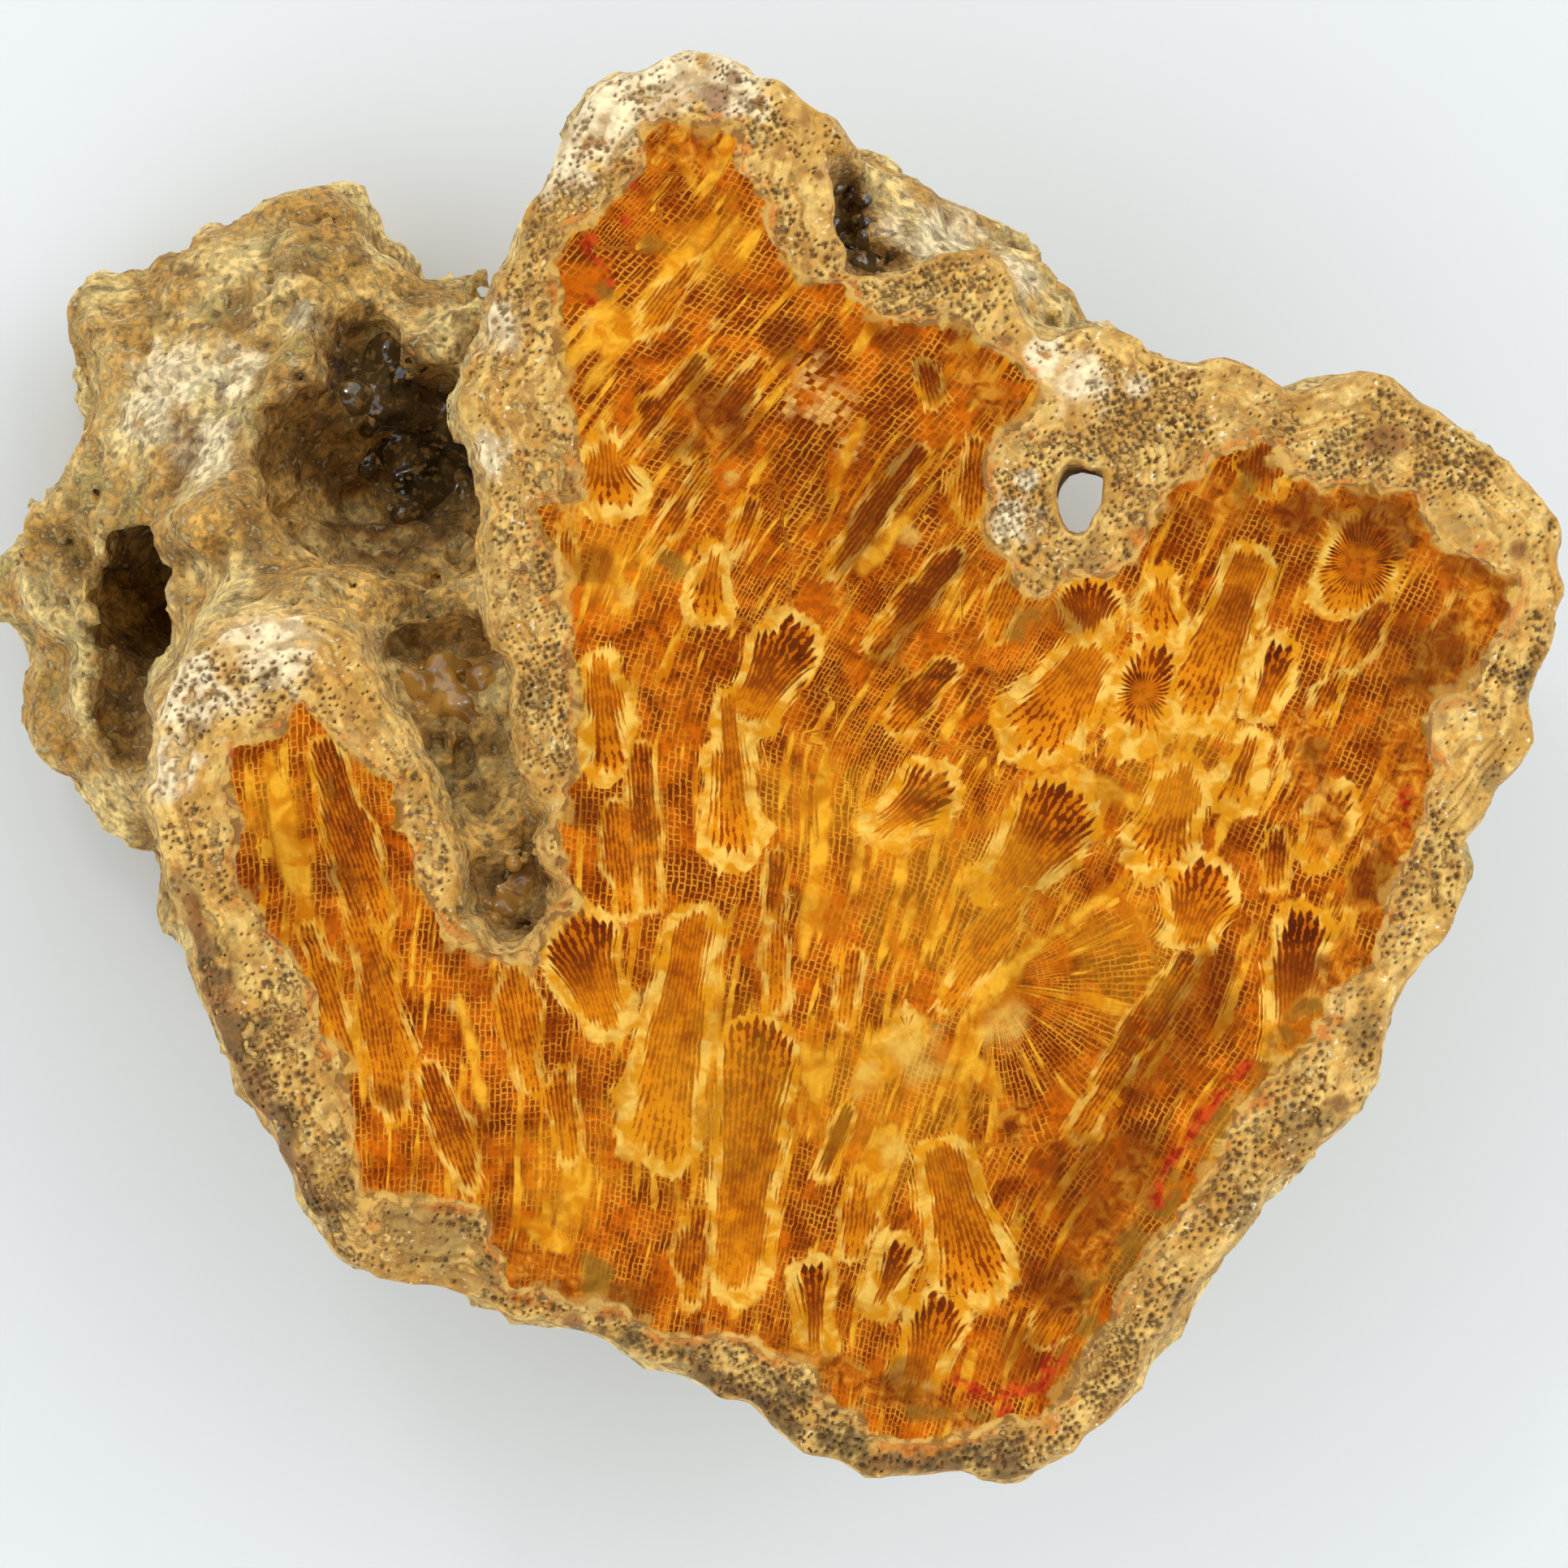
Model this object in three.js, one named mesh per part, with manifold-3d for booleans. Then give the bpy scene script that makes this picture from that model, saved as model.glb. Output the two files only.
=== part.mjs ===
// Fossil coral: a lump of agatised reef coral, sawn and polished on one side, cut off flat where it grew and
// left rough everywhere else. It rests on the flat cut with the polished face up.
//
// Lengths are millimetres. The shape is worked out in the polished face's own frame: x to the right and y
// upwards over the face, and w the depth behind it. The exported group turns that into +Z up, with the resting
// cut at z = 0 and the origin under the middle of the bounding box.
//
// The coral is one solid. Its surface is where a distance field is zero: a slab with the polished face's
// outline, a broader rear mass behind it, and hollows taken out. The hollows hold thin glassy chalcedony
// crusts, each a cluster of small domes resting on a hollow's floor.
import * as THREE from "three";
import { mergeVertices } from "three/addons/utils/BufferGeometryUtils.js";
import Module from "manifold-3d";

const THICKNESS = 76; // from the polished face to the resting cut
const CELL = 4.5; // spacing of the lattice that the coral's surface is taken from
const LATTICE_MIN = [-98, -80, -8];
const LATTICE_MAX = [90, 82, 96];
const SLAB_DEPTH = 30; // depth of the part that keeps the polished face's outline
const SLAB_SWELL = 1.2; // the slab's side stands out this much behind the edge
const REAR_FLARE = 1 / 420; // the rear mass widens by this share of its width per millimetre of depth
const REAR_ROUNDING = 20; // breadth over which the rear mass's side turns into its front and back
const HOLLOW_LIP = 2.5; // breadth of the rounding at a hollow's mouth
const CRUST_GAP = 0.35; // clear gap under a crust
const DOME_DETAIL = 2; // subdivision of a crust's domes
const DOME_SINK = 0.3; // share of a dome's radius that its centre lies below the floor

// Outline of the polished face, from the foot of the cleft up and clockwise round the main lobe.
const FACE_OUTLINE = [
  [-28.8, -16.8], [-25.1, -15.3], [-22.6, -12], [-25.1, -7], [-24, -2.8], [-26.3, 1.3], [-28.2, 9.7],
  [-27.8, 13.8], [-30.3, 18], [-30.5, 22.2], [-31.2, 25.1], [-30.5, 31.3], [-32, 35.1], [-33.8, 38.8],
  [-33, 41.3], [-30.5, 44.7], [-30.3, 49.7], [-28.4, 54.3], [-26.3, 60.5], [-23, 65.9], [-20.9, 69.8],
  [-17.6, 72.8], [-12.2, 74.7], [-7.6, 75.3], [-3, 73.4], [2, 70.5], [5.3, 67.2], [6.4, 65], [4.6, 63],
  [5, 60.1], [5.3, 56.3], [6.4, 52.6], [8.7, 52.3], [12, 53.4], [15.3, 55.1], [18.7, 55.7], [21.6, 55.1],
  [23.4, 53], [24.2, 50.5], [25.2, 46.9], [27.6, 45.2], [30.3, 46.8], [34.1, 47], [36.8, 45.5], [38.7, 43.4],
  [42.8, 42.6], [47, 43], [49.1, 42.6], [51.4, 40.1], [54.9, 40.3], [58.7, 41.7], [62.8, 40.7], [67, 38],
  [72, 34.8], [76.2, 31.8], [79.1, 27.2], [79.8, 20.5], [79.1, 13.8], [76.4, 8.8], [76.8, 5.1], [74.5, 1.3],
  [71.6, -2.8], [69.8, -7], [69.8, -12], [67.4, -15.8], [65.3, -19.3], [62.4, -22.4], [61.2, -29.4],
  [59.9, -31.6], [57.4, -34.9], [54.5, -37.7], [51.4, -40.7], [47.4, -46.2], [43.7, -50.3], [39.9, -55.3],
  [36.6, -61.2], [33.7, -65.8], [30.8, -68.3], [24.5, -71.6], [19.9, -71.2], [15.3, -70.5], [10.3, -70.6],
  [5.8, -69.3], [1.6, -67.4], [-2.2, -64.5], [-6.3, -61.8], [-10.9, -59.9], [-20.5, -57.7], [-27.2, -55.5],
  [-33.8, -53.5], [-40.5, -52], [-45.5, -49.1], [-48.4, -43.7], [-53.4, -34.5], [-57.6, -27.8], [-60.3, -19.5],
  [-62, -14.1], [-63.4, -7.8], [-65.5, -1.6], [-65.3, 3], [-64.4, 7.8], [-62.6, 11.3], [-60, 14.2],
  [-56.3, 17], [-51.3, 18.4], [-47.6, 17.8], [-44.2, 14.7], [-42.4, 10.5], [-39, 4.3], [-37, 0.9],
  [-36.3, -3.7], [-34.6, -9.5], [-32.2, -14.5],
];

// Outline of the rear mass brought forward to the face's plane, from behind the top lobe down the rear-left
// lobe, under the main lobe and up to the ridge behind the top right edge.
const REAR_OUTLINE = [
  [-18, 52], [-30.5, 50.5], [-33, 51.4], [-36.3, 52], [-39.7, 54.9], [-43.8, 58], [-48.4, 59.7],
  [-51.8, 59.9], [-54.7, 58], [-58.4, 55.9], [-60.1, 53.3], [-62.6, 52.8], [-65.9, 50.8], [-71.2, 50.5],
  [-72.2, 47.6], [-72.8, 43.8], [-72, 38.8], [-72.2, 35.1], [-73.7, 30.5], [-76.3, 27.2], [-79.3, 24.7],
  [-80.1, 22.2], [-79.8, 20.1], [-78, 15.9], [-77.4, 11.8], [-78, 9.7], [-76.8, 5.5], [-75.5, 2.6],
  [-73.7, 0.1], [-71.3, -2.8], [-68, -6.2], [-65.1, -9.5], [-60, -18], [-53, -30], [-45, -42], [-33, -48],
  [-15, -54], [3, -62], [20, -65], [31, -59], [43, -44], [55, -29], [62, -14], [67, 2], [71, 16], [66, 29],
  [52, 35], [38, 39], [31, 46], [28.8, 50.1], [26.2, 53.4], [22.8, 56.3], [18.3, 58.8], [13.7, 60.8],
  [9.5, 62.8], [7.2, 63.8], [0, 64], [-12, 61],
];

// Front and back depths of the rear mass at x, y. Between these points the depths are blended.
const REAR_DEPTHS = [
  [-56, 55, 34, 88], [-70, 48, 36, 84], [-76, 36, 37, 82], [-85, 24, 37, 78], [-82, 4, 40, 76],
  [-72, -6, 38, 76], [-68, 36, 29, 88], [-60, 27, 18, 88], [-54, 38, 25, 90], [-58.5, 16, 4, 88],
  [-70, 16, 36, 86], [-70, 4, 34, 84], [-50, 20, 7, 90], [-44, 20, 14, 90], [-38, 20, 18, 90],
  [-76, 14, 40, 84], [-64, 21, 24, 88], [-64.5, 8, 10, 86], [-50, 26, 18, 90], [-38, 27, 30, 90],
  [-40, 46, 32, 88], [-36, 55, 37, 78], [-36, 12, 18, 90], [-34, 4, 15, 90], [-30, -4, 10, 90],
  [-29, -13, 6, 90], [-40, -20, 14, 86], [0, -20, 14, 88], [-20, 20, 16, 90], [20, 0, 14, 82],
  [10, -45, 14, 66], [30, -50, 14, 52], [50, -10, 14, 50], [60, 15, 14, 44], [35, 30, 10, 42],
  [20, 45, 9, 60], [13, 56, 8, 62], [25, 52, 10, 60], [-5, 55, 14, 58], [-45, -35, 14, 62],
];

// Hollows: centre x, y, w and half-sizes x, y, w.
const HOLLOWS = [
  [[-44.5, 34, 27], [13.5, 12, 22]], // main hollow behind the main lobe's left edge, an open bowl
  [[-39.5, 26.5, 26], [8.5, 6.5, 16]], // its lower right part, down to the ledge
  [[-40, 37, 38], [8.5, 9.5, 17]], // its deepest part
  [[-46.2, 47.5, 33], [5.6, 9, 15]], // the recess that it runs up into
  [[-71, 21.5, 45], [8, 9.5, 20]], // hollow in the rear-left lobe
  [[-74, 9, 40], [5, 8, 9]], // its lower end, a trough beside the small lobe
  [[-37, 15.4, 18], [7.5, 2.8, 5.5]], // recess at the head of the cleft, under a thin ledge
  [[-29, -11.5, 5], [4.6, 5, 7]], // pool at the foot of the cleft
  [[6.6, 61, 9], [2.6, 5.6, 11]], // narrow hollow beside the top lobe
  [[9.6, 55, 6], [4.4, 2.4, 8]],
];
// Mouth of the wormhole that runs right through the thin right shoulder.
const WORMHOLE = [
  [29.7, 33.2], [28.4, 32], [27.9, 30], [28.2, 27.4], [29.2, 26], [30.5, 25.4], [31.6, 26.2], [32.2, 27.8],
  [33, 29.4], [33.2, 31.4], [32.6, 32.6], [31.4, 32.6], [30.5, 33.4],
];
const WORMHOLE_LEAN = 0.1; // it runs to the right by this much per millimetre of depth
const UNDERCUT = [[37, 33, 46], [15, 14, 27]]; // open space behind it

// Long soft waves that keep the rough surfaces from looking turned: x, y, w (per mm), phase and height.
const WAVES = [
  [0.21, 0.09, 0.13, 0.4, 0.5], [-0.11, 0.24, 0.1, 1.9, 0.5], [0.07, -0.13, 0.26, 3.1, 0.5],
  [0.33, 0.21, -0.19, 5.2, 0.5], [-0.29, 0.17, 0.35, 2.3, 0.5], [0.18, -0.41, 0.22, 4.4, 0.5],
];

// Domes of each crust: x, y and radius, set on the floor met going down from the start depth.
const CRUSTS = {
  main_hollow_chalcedony: {
    start: 34,
    domes: [
      [-46, 48, 3], [-45, 44, 3.8], [-41, 42, 4], [-44, 38.5, 3.8], [-39, 38, 4.2], [-42, 34.5, 3.4],
      [-36, 40.5, 4],
    ],
  },
  shelf_chalcedony: {
    start: 2,
    domes: [[-39, 10.6, 3.2], [-36.6, 12.4, 3.4], [-35.4, 9.2, 3.4], [-32.4, 11.2, 3.2]],
  },
  cleft_chalcedony: { start: 2, domes: [[-29.4, -13, 3], [-28.8, -10, 3]] },
  top_hollow_chalcedony: {
    start: 2,
    domes: [[6.6, 63, 2.2], [6.8, 60, 2.4], [7.4, 57.4, 2.4], [9.6, 55.4, 2.2]],
  },
};

const COLOURS = { coral: "#c8913f", chalcedony: "#8d8a83" };

const wasm = await Module();
wasm.setup();

// Distances -------------------------------------------------------------------------------------------------

function smoothClosedCurve(points) {
  const curve = new THREE.CatmullRomCurve3(points.map(([x, y]) => new THREE.Vector3(x, y, 0)), true);
  return curve.getPoints(points.length * 2).slice(0, -1);
}

// Signed distance from a point of the face's plane to a closed outline, negative inside.
function outlineDistance(outline, x, y) {
  let nearest = Infinity;
  let inside = false;
  for (let i = 0, j = outline.length - 1; i < outline.length; j = i++) {
    const a = outline[j];
    const b = outline[i];
    const ex = b.x - a.x;
    const ey = b.y - a.y;
    const share = THREE.MathUtils.clamp(((x - a.x) * ex + (y - a.y) * ey) / (ex * ex + ey * ey), 0, 1);
    nearest = Math.min(nearest, Math.hypot(x - a.x - ex * share, y - a.y - ey * share));
    if (a.y > y !== b.y > y && x < a.x + (ex * (y - a.y)) / ey) inside = !inside;
  }
  return inside ? -nearest : nearest;
}

// Union of two distances whose crease is filled over the given breadth.
function smoothUnion(a, b, breadth) {
  const overlap = Math.max(breadth - Math.abs(a - b), 0) / breadth;
  return Math.min(a, b) - (overlap * overlap * breadth) / 4;
}

// Intersection of two distances whose edge is rounded over the given breadth.
function smoothIntersection(a, b, breadth) {
  return -smoothUnion(-a, -b, breadth);
}

// Distance to an ellipsoid, exact enough near its surface.
function ellipsoidDistance(x, y, w, [[cx, cy, cw], [rx, ry, rw]]) {
  const scaled = Math.hypot((x - cx) / rx, (y - cy) / ry, (w - cw) / rw);
  const steepness = Math.hypot((x - cx) / rx ** 2, (y - cy) / ry ** 2, (w - cw) / rw ** 2);
  return steepness < 1e-6 ? -Math.min(rx, ry, rw) : (scaled * (scaled - 1)) / steepness;
}

// Front and back depth of the rear mass at x, y: the listed depths weighted by nearness.
function rearDepths(x, y) {
  let [total, front, back] = [0, 0, 0];
  for (const [px, py, frontDepth, backDepth] of REAR_DEPTHS) {
    const weight = 1 / ((x - px) ** 2 + (y - py) ** 2 + 6) ** 2;
    total += weight;
    front += weight * frontDepth;
    back += weight * backDepth;
  }
  return [front / total, back / total];
}

const faceOutline = smoothClosedCurve(FACE_OUTLINE);
const rearOutline = smoothClosedCurve(REAR_OUTLINE);

// The slab under the polished face: its side swells a little behind the edge and draws in further back.
function slabDistance(x, y, w) {
  const share = THREE.MathUtils.clamp(w / SLAB_DEPTH, 0, 1);
  const side = outlineDistance(faceOutline, x, y) - SLAB_SWELL * Math.sin(Math.PI * share) + 4 * share ** 3;
  return smoothIntersection(side, w - SLAB_DEPTH, 12);
}

function rearDistance(x, y, w) {
  const flare = 1 + w * REAR_FLARE;
  const side = outlineDistance(rearOutline, x / flare, y / flare) * flare;
  const [front, back] = rearDepths(x, y);
  const depth = smoothIntersection((front - w) * 0.8, (w - back) * 0.8, REAR_ROUNDING / 2);
  return smoothIntersection(side, depth, REAR_ROUNDING);
}

function waveHeight(x, y, w) {
  let height = 0;
  for (const [kx, ky, kw, phase, size] of WAVES) height += size * Math.sin(kx * x + ky * y + kw * w + phase);
  return height * THREE.MathUtils.smoothstep(w, 2, 16); // the polished face's outline is kept
}

// The slab and the rear mass blend more broadly further back.
function joinBreadth(w) {
  return THREE.MathUtils.lerp(4, 16, THREE.MathUtils.smoothstep(w, 14, 30));
}

// Distance to the coral's surface, negative inside.
function coralDistance(x, y, w) {
  let coral = smoothUnion(slabDistance(x, y, w), rearDistance(x, y, w), joinBreadth(w)) + waveHeight(x, y, w);
  for (const hollow of HOLLOWS) {
    coral = smoothIntersection(coral, -ellipsoidDistance(x, y, w, hollow), HOLLOW_LIP);
  }
  coral = smoothIntersection(coral, -ellipsoidDistance(x, y, w, UNDERCUT), 6);
  return Math.max(coral, LATTICE_MIN[2] + CELL / 2 - w, w + CELL / 2 - LATTICE_MAX[2]);
}

// Surface ---------------------------------------------------------------------------------------------------

const CORNERS = [[0, 0, 0], [1, 0, 0], [0, 1, 0], [1, 1, 0], [0, 0, 1], [1, 0, 1], [0, 1, 1], [1, 1, 1]];
const EDGES = [
  [0, 1], [2, 3], [4, 5], [6, 7], [0, 2], [1, 3], [4, 6], [5, 7], [0, 4], [1, 5], [2, 6], [3, 7],
];
const SQUARES = [[0, 1, 3, 2], [4, 5, 7, 6], [0, 1, 5, 4], [2, 3, 7, 6], [0, 2, 6, 4], [1, 3, 7, 5]];

// True when the corners of a cell that are inside, and those that are outside, each hang together along the
// cell's edges, and no side of the cell has its corners inside and outside by turns.
function isPlain(inside) {
  for (const [a, b, c, d] of SQUARES) {
    if (inside[a] === inside[c] && inside[b] === inside[d] && inside[a] !== inside[b]) return false;
  }
  const group = inside.map((_, corner) => corner);
  for (let pass = 0; pass < 7; pass++) {
    for (const [from, to] of EDGES) {
      if (inside[from] === inside[to]) group[from] = group[to] = Math.min(group[from], group[to]);
    }
  }
  return new Set(group).size <= 2;
}

// Fills in cells where two parts of the surface would meet in a bare edge or point.
function closePinches(values, [nx, ny, nz], cell) {
  const index = (i, j, k) => i + nx * (j + ny * k);
  let changed = true;
  while (changed) {
    changed = false;
    for (let k = 0; k < nz - 1; k++) {
      for (let j = 0; j < ny - 1; j++) {
        for (let i = 0; i < nx - 1; i++) {
          const keys = CORNERS.map(([a, b, c]) => index(i + a, j + b, k + c));
          if (isPlain(keys.map((key) => values[key] < 0))) continue;
          const outside = keys.filter((key) => values[key] >= 0).sort((a, b) => values[a] - values[b]);
          values[outside[0]] = -cell / 20;
          changed = true;
        }
      }
    }
  }
}

// Closed surface of a distance field: one vertex in every lattice cell that the surface passes through, and
// one quad across every lattice edge that it cuts. Each vertex is then moved along the slope onto the surface.
function surfaceOf(distance, low, high, cell) {
  const [nx, ny, nz] = low.map((start, axis) => Math.ceil((high[axis] - start) / cell) + 1);
  const index = (i, j, k) => i + nx * (j + ny * k);
  const values = new Float64Array(nx * ny * nz);
  for (let k = 0; k < nz; k++) {
    for (let j = 0; j < ny; j++) {
      for (let i = 0; i < nx; i++) {
        values[index(i, j, k)] = distance(low[0] + i * cell, low[1] + j * cell, low[2] + k * cell);
      }
    }
  }
  closePinches(values, [nx, ny, nz], cell);
  const positions = [];
  const vertexOf = new Map();
  for (let k = 0; k < nz - 1; k++) {
    for (let j = 0; j < ny - 1; j++) {
      for (let i = 0; i < nx - 1; i++) {
        const at = CORNERS.map(([a, b, c]) => values[index(i + a, j + b, k + c)]);
        const sum = [0, 0, 0];
        let crossings = 0;
        for (const [from, to] of EDGES) {
          if (at[from] < 0 === at[to] < 0) continue;
          const share = at[from] / (at[from] - at[to]);
          for (let axis = 0; axis < 3; axis++) {
            sum[axis] += THREE.MathUtils.lerp(CORNERS[from][axis], CORNERS[to][axis], share);
          }
          crossings += 1;
        }
        if (crossings === 0) continue;
        vertexOf.set(index(i, j, k), positions.length / 3);
        const cellAt = [i, j, k];
        const point = cellAt.map((step, axis) => low[axis] + (step + sum[axis] / crossings) * cell);
        positions.push(...ontoSurface(distance, point, cell));
      }
    }
  }
  const triangles = [];
  const steps = [index(1, 0, 0), index(0, 1, 0), index(0, 0, 1)];
  for (let k = 0; k < nz - 1; k++) {
    for (let j = 0; j < ny - 1; j++) {
      for (let i = 0; i < nx - 1; i++) {
        const here = index(i, j, k);
        for (let axis = 0; axis < 3; axis++) {
          const inside = values[here] < 0;
          if (inside === values[here + steps[axis]] < 0) continue;
          const u = steps[(axis + 1) % 3];
          const v = steps[(axis + 2) % 3];
          const quad = [here, here - u, here - u - v, here - v].map((key) => vertexOf.get(key));
          if (!inside) quad.reverse();
          triangles.push(quad[0], quad[1], quad[2], quad[0], quad[2], quad[3]);
        }
      }
    }
  }
  return asSolid(new Float32Array(positions), new Uint32Array(triangles));
}

// Moves a point along the field's slope until it lies on the surface, by at most a third of a cell.
function ontoSurface(distance, [x, y, w], cell) {
  const step = cell / 16;
  const here = distance(x, y, w);
  const slope = new THREE.Vector3(
    distance(x + step, y, w) - here,
    distance(x, y + step, w) - here,
    distance(x, y, w + step) - here,
  ).divideScalar(step);
  const travel = slope.multiplyScalar(-here / Math.max(slope.lengthSq(), 0.2)).clampLength(0, cell / 3);
  return [x + travel.x, y + travel.y, w + travel.z];
}

function asSolid(positions, triangles) {
  return new wasm.Manifold(new wasm.Mesh({ numProp: 3, vertProperties: positions, triVerts: triangles }));
}

function solidOf(geometry) {
  const bare = geometry.clone();
  bare.deleteAttribute("normal");
  bare.deleteAttribute("uv");
  const merged = mergeVertices(bare, 1e-4);
  return asSolid(new Float32Array(merged.attributes.position.array), new Uint32Array(merged.index.array));
}

function largestBody(solid) {
  return solid.decompose().sort((a, b) => b.volume() - a.volume())[0];
}

function buildWormhole() {
  const mouth = new THREE.Shape(WORMHOLE.map(([x, y]) => new THREE.Vector2(x, y)));
  const bore = new THREE.ExtrudeGeometry(mouth, { depth: THICKNESS, bevelEnabled: false }).translate(0, 0, -2);
  const lean = new THREE.Matrix4().makeShear(0, 0, 0, 0, WORMHOLE_LEAN, 0);
  return solidOf(bore.applyMatrix4(lean));
}

// The coral between the polished face and the resting cut.
function buildCoral() {
  const whole = surfaceOf(coralDistance, LATTICE_MIN, LATTICE_MAX, CELL);
  const block = solidOf(new THREE.BoxGeometry(300, 300, THICKNESS).translate(0, 0, THICKNESS / 2));
  return largestBody(whole.intersect(block).subtract(buildWormhole()));
}

// Depth of the first surface met at x, y going down from the start depth.
function floorDepth(x, y, start) {
  let w = start;
  while (coralDistance(x, y, w) > 0 && w < THICKNESS) w += 0.25;
  return w;
}

// A crust: domes on the floor, less the coral and a narrow gap all round it.
function buildCrust(coral, { start, domes }) {
  const balls = domes.map(([x, y, radius]) => {
    const ball = new THREE.IcosahedronGeometry(radius, DOME_DETAIL);
    return solidOf(ball.translate(x, y, floorDepth(x, y, start) + DOME_SINK * radius));
  });
  const shifts = [[0, 0, 0], [1, 0, 0], [-1, 0, 0], [0, 1, 0], [0, -1, 0], [0, 0, 1], [0, 0, -1]];
  const cleared = shifts.map((shift) => coral.translate(shift.map((part) => part * CRUST_GAP)));
  return largestBody(wasm.Manifold.union(balls).subtract(wasm.Manifold.union(cleared)));
}

// Assembly --------------------------------------------------------------------------------------------------

function meshOf(name, solid, colour, roughness, toFinal) {
  const mesh = solid.getMesh();
  const geometry = new THREE.BufferGeometry();
  const positions = Float32Array.from(mesh.vertProperties);
  geometry.setAttribute("position", new THREE.BufferAttribute(positions, 3));
  geometry.setIndex(new THREE.BufferAttribute(Uint32Array.from(mesh.triVerts).reverse(), 1));
  geometry.applyMatrix4(toFinal);
  const part = new THREE.Mesh(geometry, new THREE.MeshStandardMaterial({ color: colour, roughness }));
  part.name = name;
  return part;
}

const coral = buildCoral();
const bounds = coral.boundingBox();
const middle = [(bounds.min[0] + bounds.max[0]) / 2, (bounds.min[1] + bounds.max[1]) / 2];
// x, y and w make a left-handed set, so turning w over into +Z also turns the triangles inside out.
const toFinal = new THREE.Matrix4().set(
  1, 0, 0, -middle[0],
  0, 1, 0, -middle[1],
  0, 0, -1, THICKNESS,
  0, 0, 0, 1,
);

const group = new THREE.Group();
group.name = "fossil_coral";
group.add(meshOf("coral", coral, COLOURS.coral, 0.8, toFinal));
for (const [name, crust] of Object.entries(CRUSTS)) {
  group.add(meshOf(name, buildCrust(coral, crust), COLOURS.chalcedony, 0.2, toFinal));
}

export default group;
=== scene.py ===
"""Fossil coral: a lump of agatised reef coral with one sawn and polished face, lying on its flat cut.

The stone is described in its polished face's own frame: x to the right and y upwards over the face, and w the
depth behind it, all in millimetres. Places on the face are noted on a sheet laid over it, in twelfths of a
millimetre to the right of and down from the sheet's top left corner.
"""

import logging
import math
from dataclasses import dataclass, field
from enum import Enum, IntEnum

import bpy
import numpy as np
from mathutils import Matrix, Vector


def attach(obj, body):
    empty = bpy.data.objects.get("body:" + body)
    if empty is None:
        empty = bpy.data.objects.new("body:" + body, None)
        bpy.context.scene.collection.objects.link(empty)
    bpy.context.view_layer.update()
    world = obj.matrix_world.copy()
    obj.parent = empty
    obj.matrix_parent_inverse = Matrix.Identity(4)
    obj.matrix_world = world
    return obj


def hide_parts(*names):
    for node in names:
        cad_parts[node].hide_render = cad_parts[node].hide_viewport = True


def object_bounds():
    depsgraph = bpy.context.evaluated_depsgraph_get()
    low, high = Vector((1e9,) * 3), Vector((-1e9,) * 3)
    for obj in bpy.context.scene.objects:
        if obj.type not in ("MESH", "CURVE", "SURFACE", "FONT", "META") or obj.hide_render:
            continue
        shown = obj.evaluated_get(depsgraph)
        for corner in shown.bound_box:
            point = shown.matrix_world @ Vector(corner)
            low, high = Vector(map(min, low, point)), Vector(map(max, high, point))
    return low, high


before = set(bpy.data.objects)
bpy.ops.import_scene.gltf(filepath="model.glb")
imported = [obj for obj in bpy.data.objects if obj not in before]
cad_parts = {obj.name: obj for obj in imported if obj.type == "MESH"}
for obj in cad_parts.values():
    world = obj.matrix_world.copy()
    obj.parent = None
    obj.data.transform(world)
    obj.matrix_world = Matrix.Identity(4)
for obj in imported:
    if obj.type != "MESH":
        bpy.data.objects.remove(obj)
CAD_BOX = [list(corner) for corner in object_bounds()]

LOG = logging.getLogger("fossil_coral")
MM = 0.001
SHEET_PER_MM = 12.0
SHEET_MIDDLE = 966.0
BOX_MIDDLE = (-6.576, 1.803)  # the row's origin in the face's frame
THICKNESS = (CAD_BOX[1][2] - CAD_BOX[0][2]) / MM
MAP_LOW, MAP_HIGH = (-98.0, -82.0), (92.0, 84.0)  # the face's surroundings, in millimetres
FAR_OUTSIDE = -50.0  # stands for a place inside nothing yet, in millimetres

Array = np.ndarray


class Seed(IntEnum):
    """Seeds of the random numbers."""

    LUMPS = 11
    GRIT = 12
    WOBBLE = 21
    RAGGED = 31
    LOOSE_PORES = 41
    ROWED_PORES = 42


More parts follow.
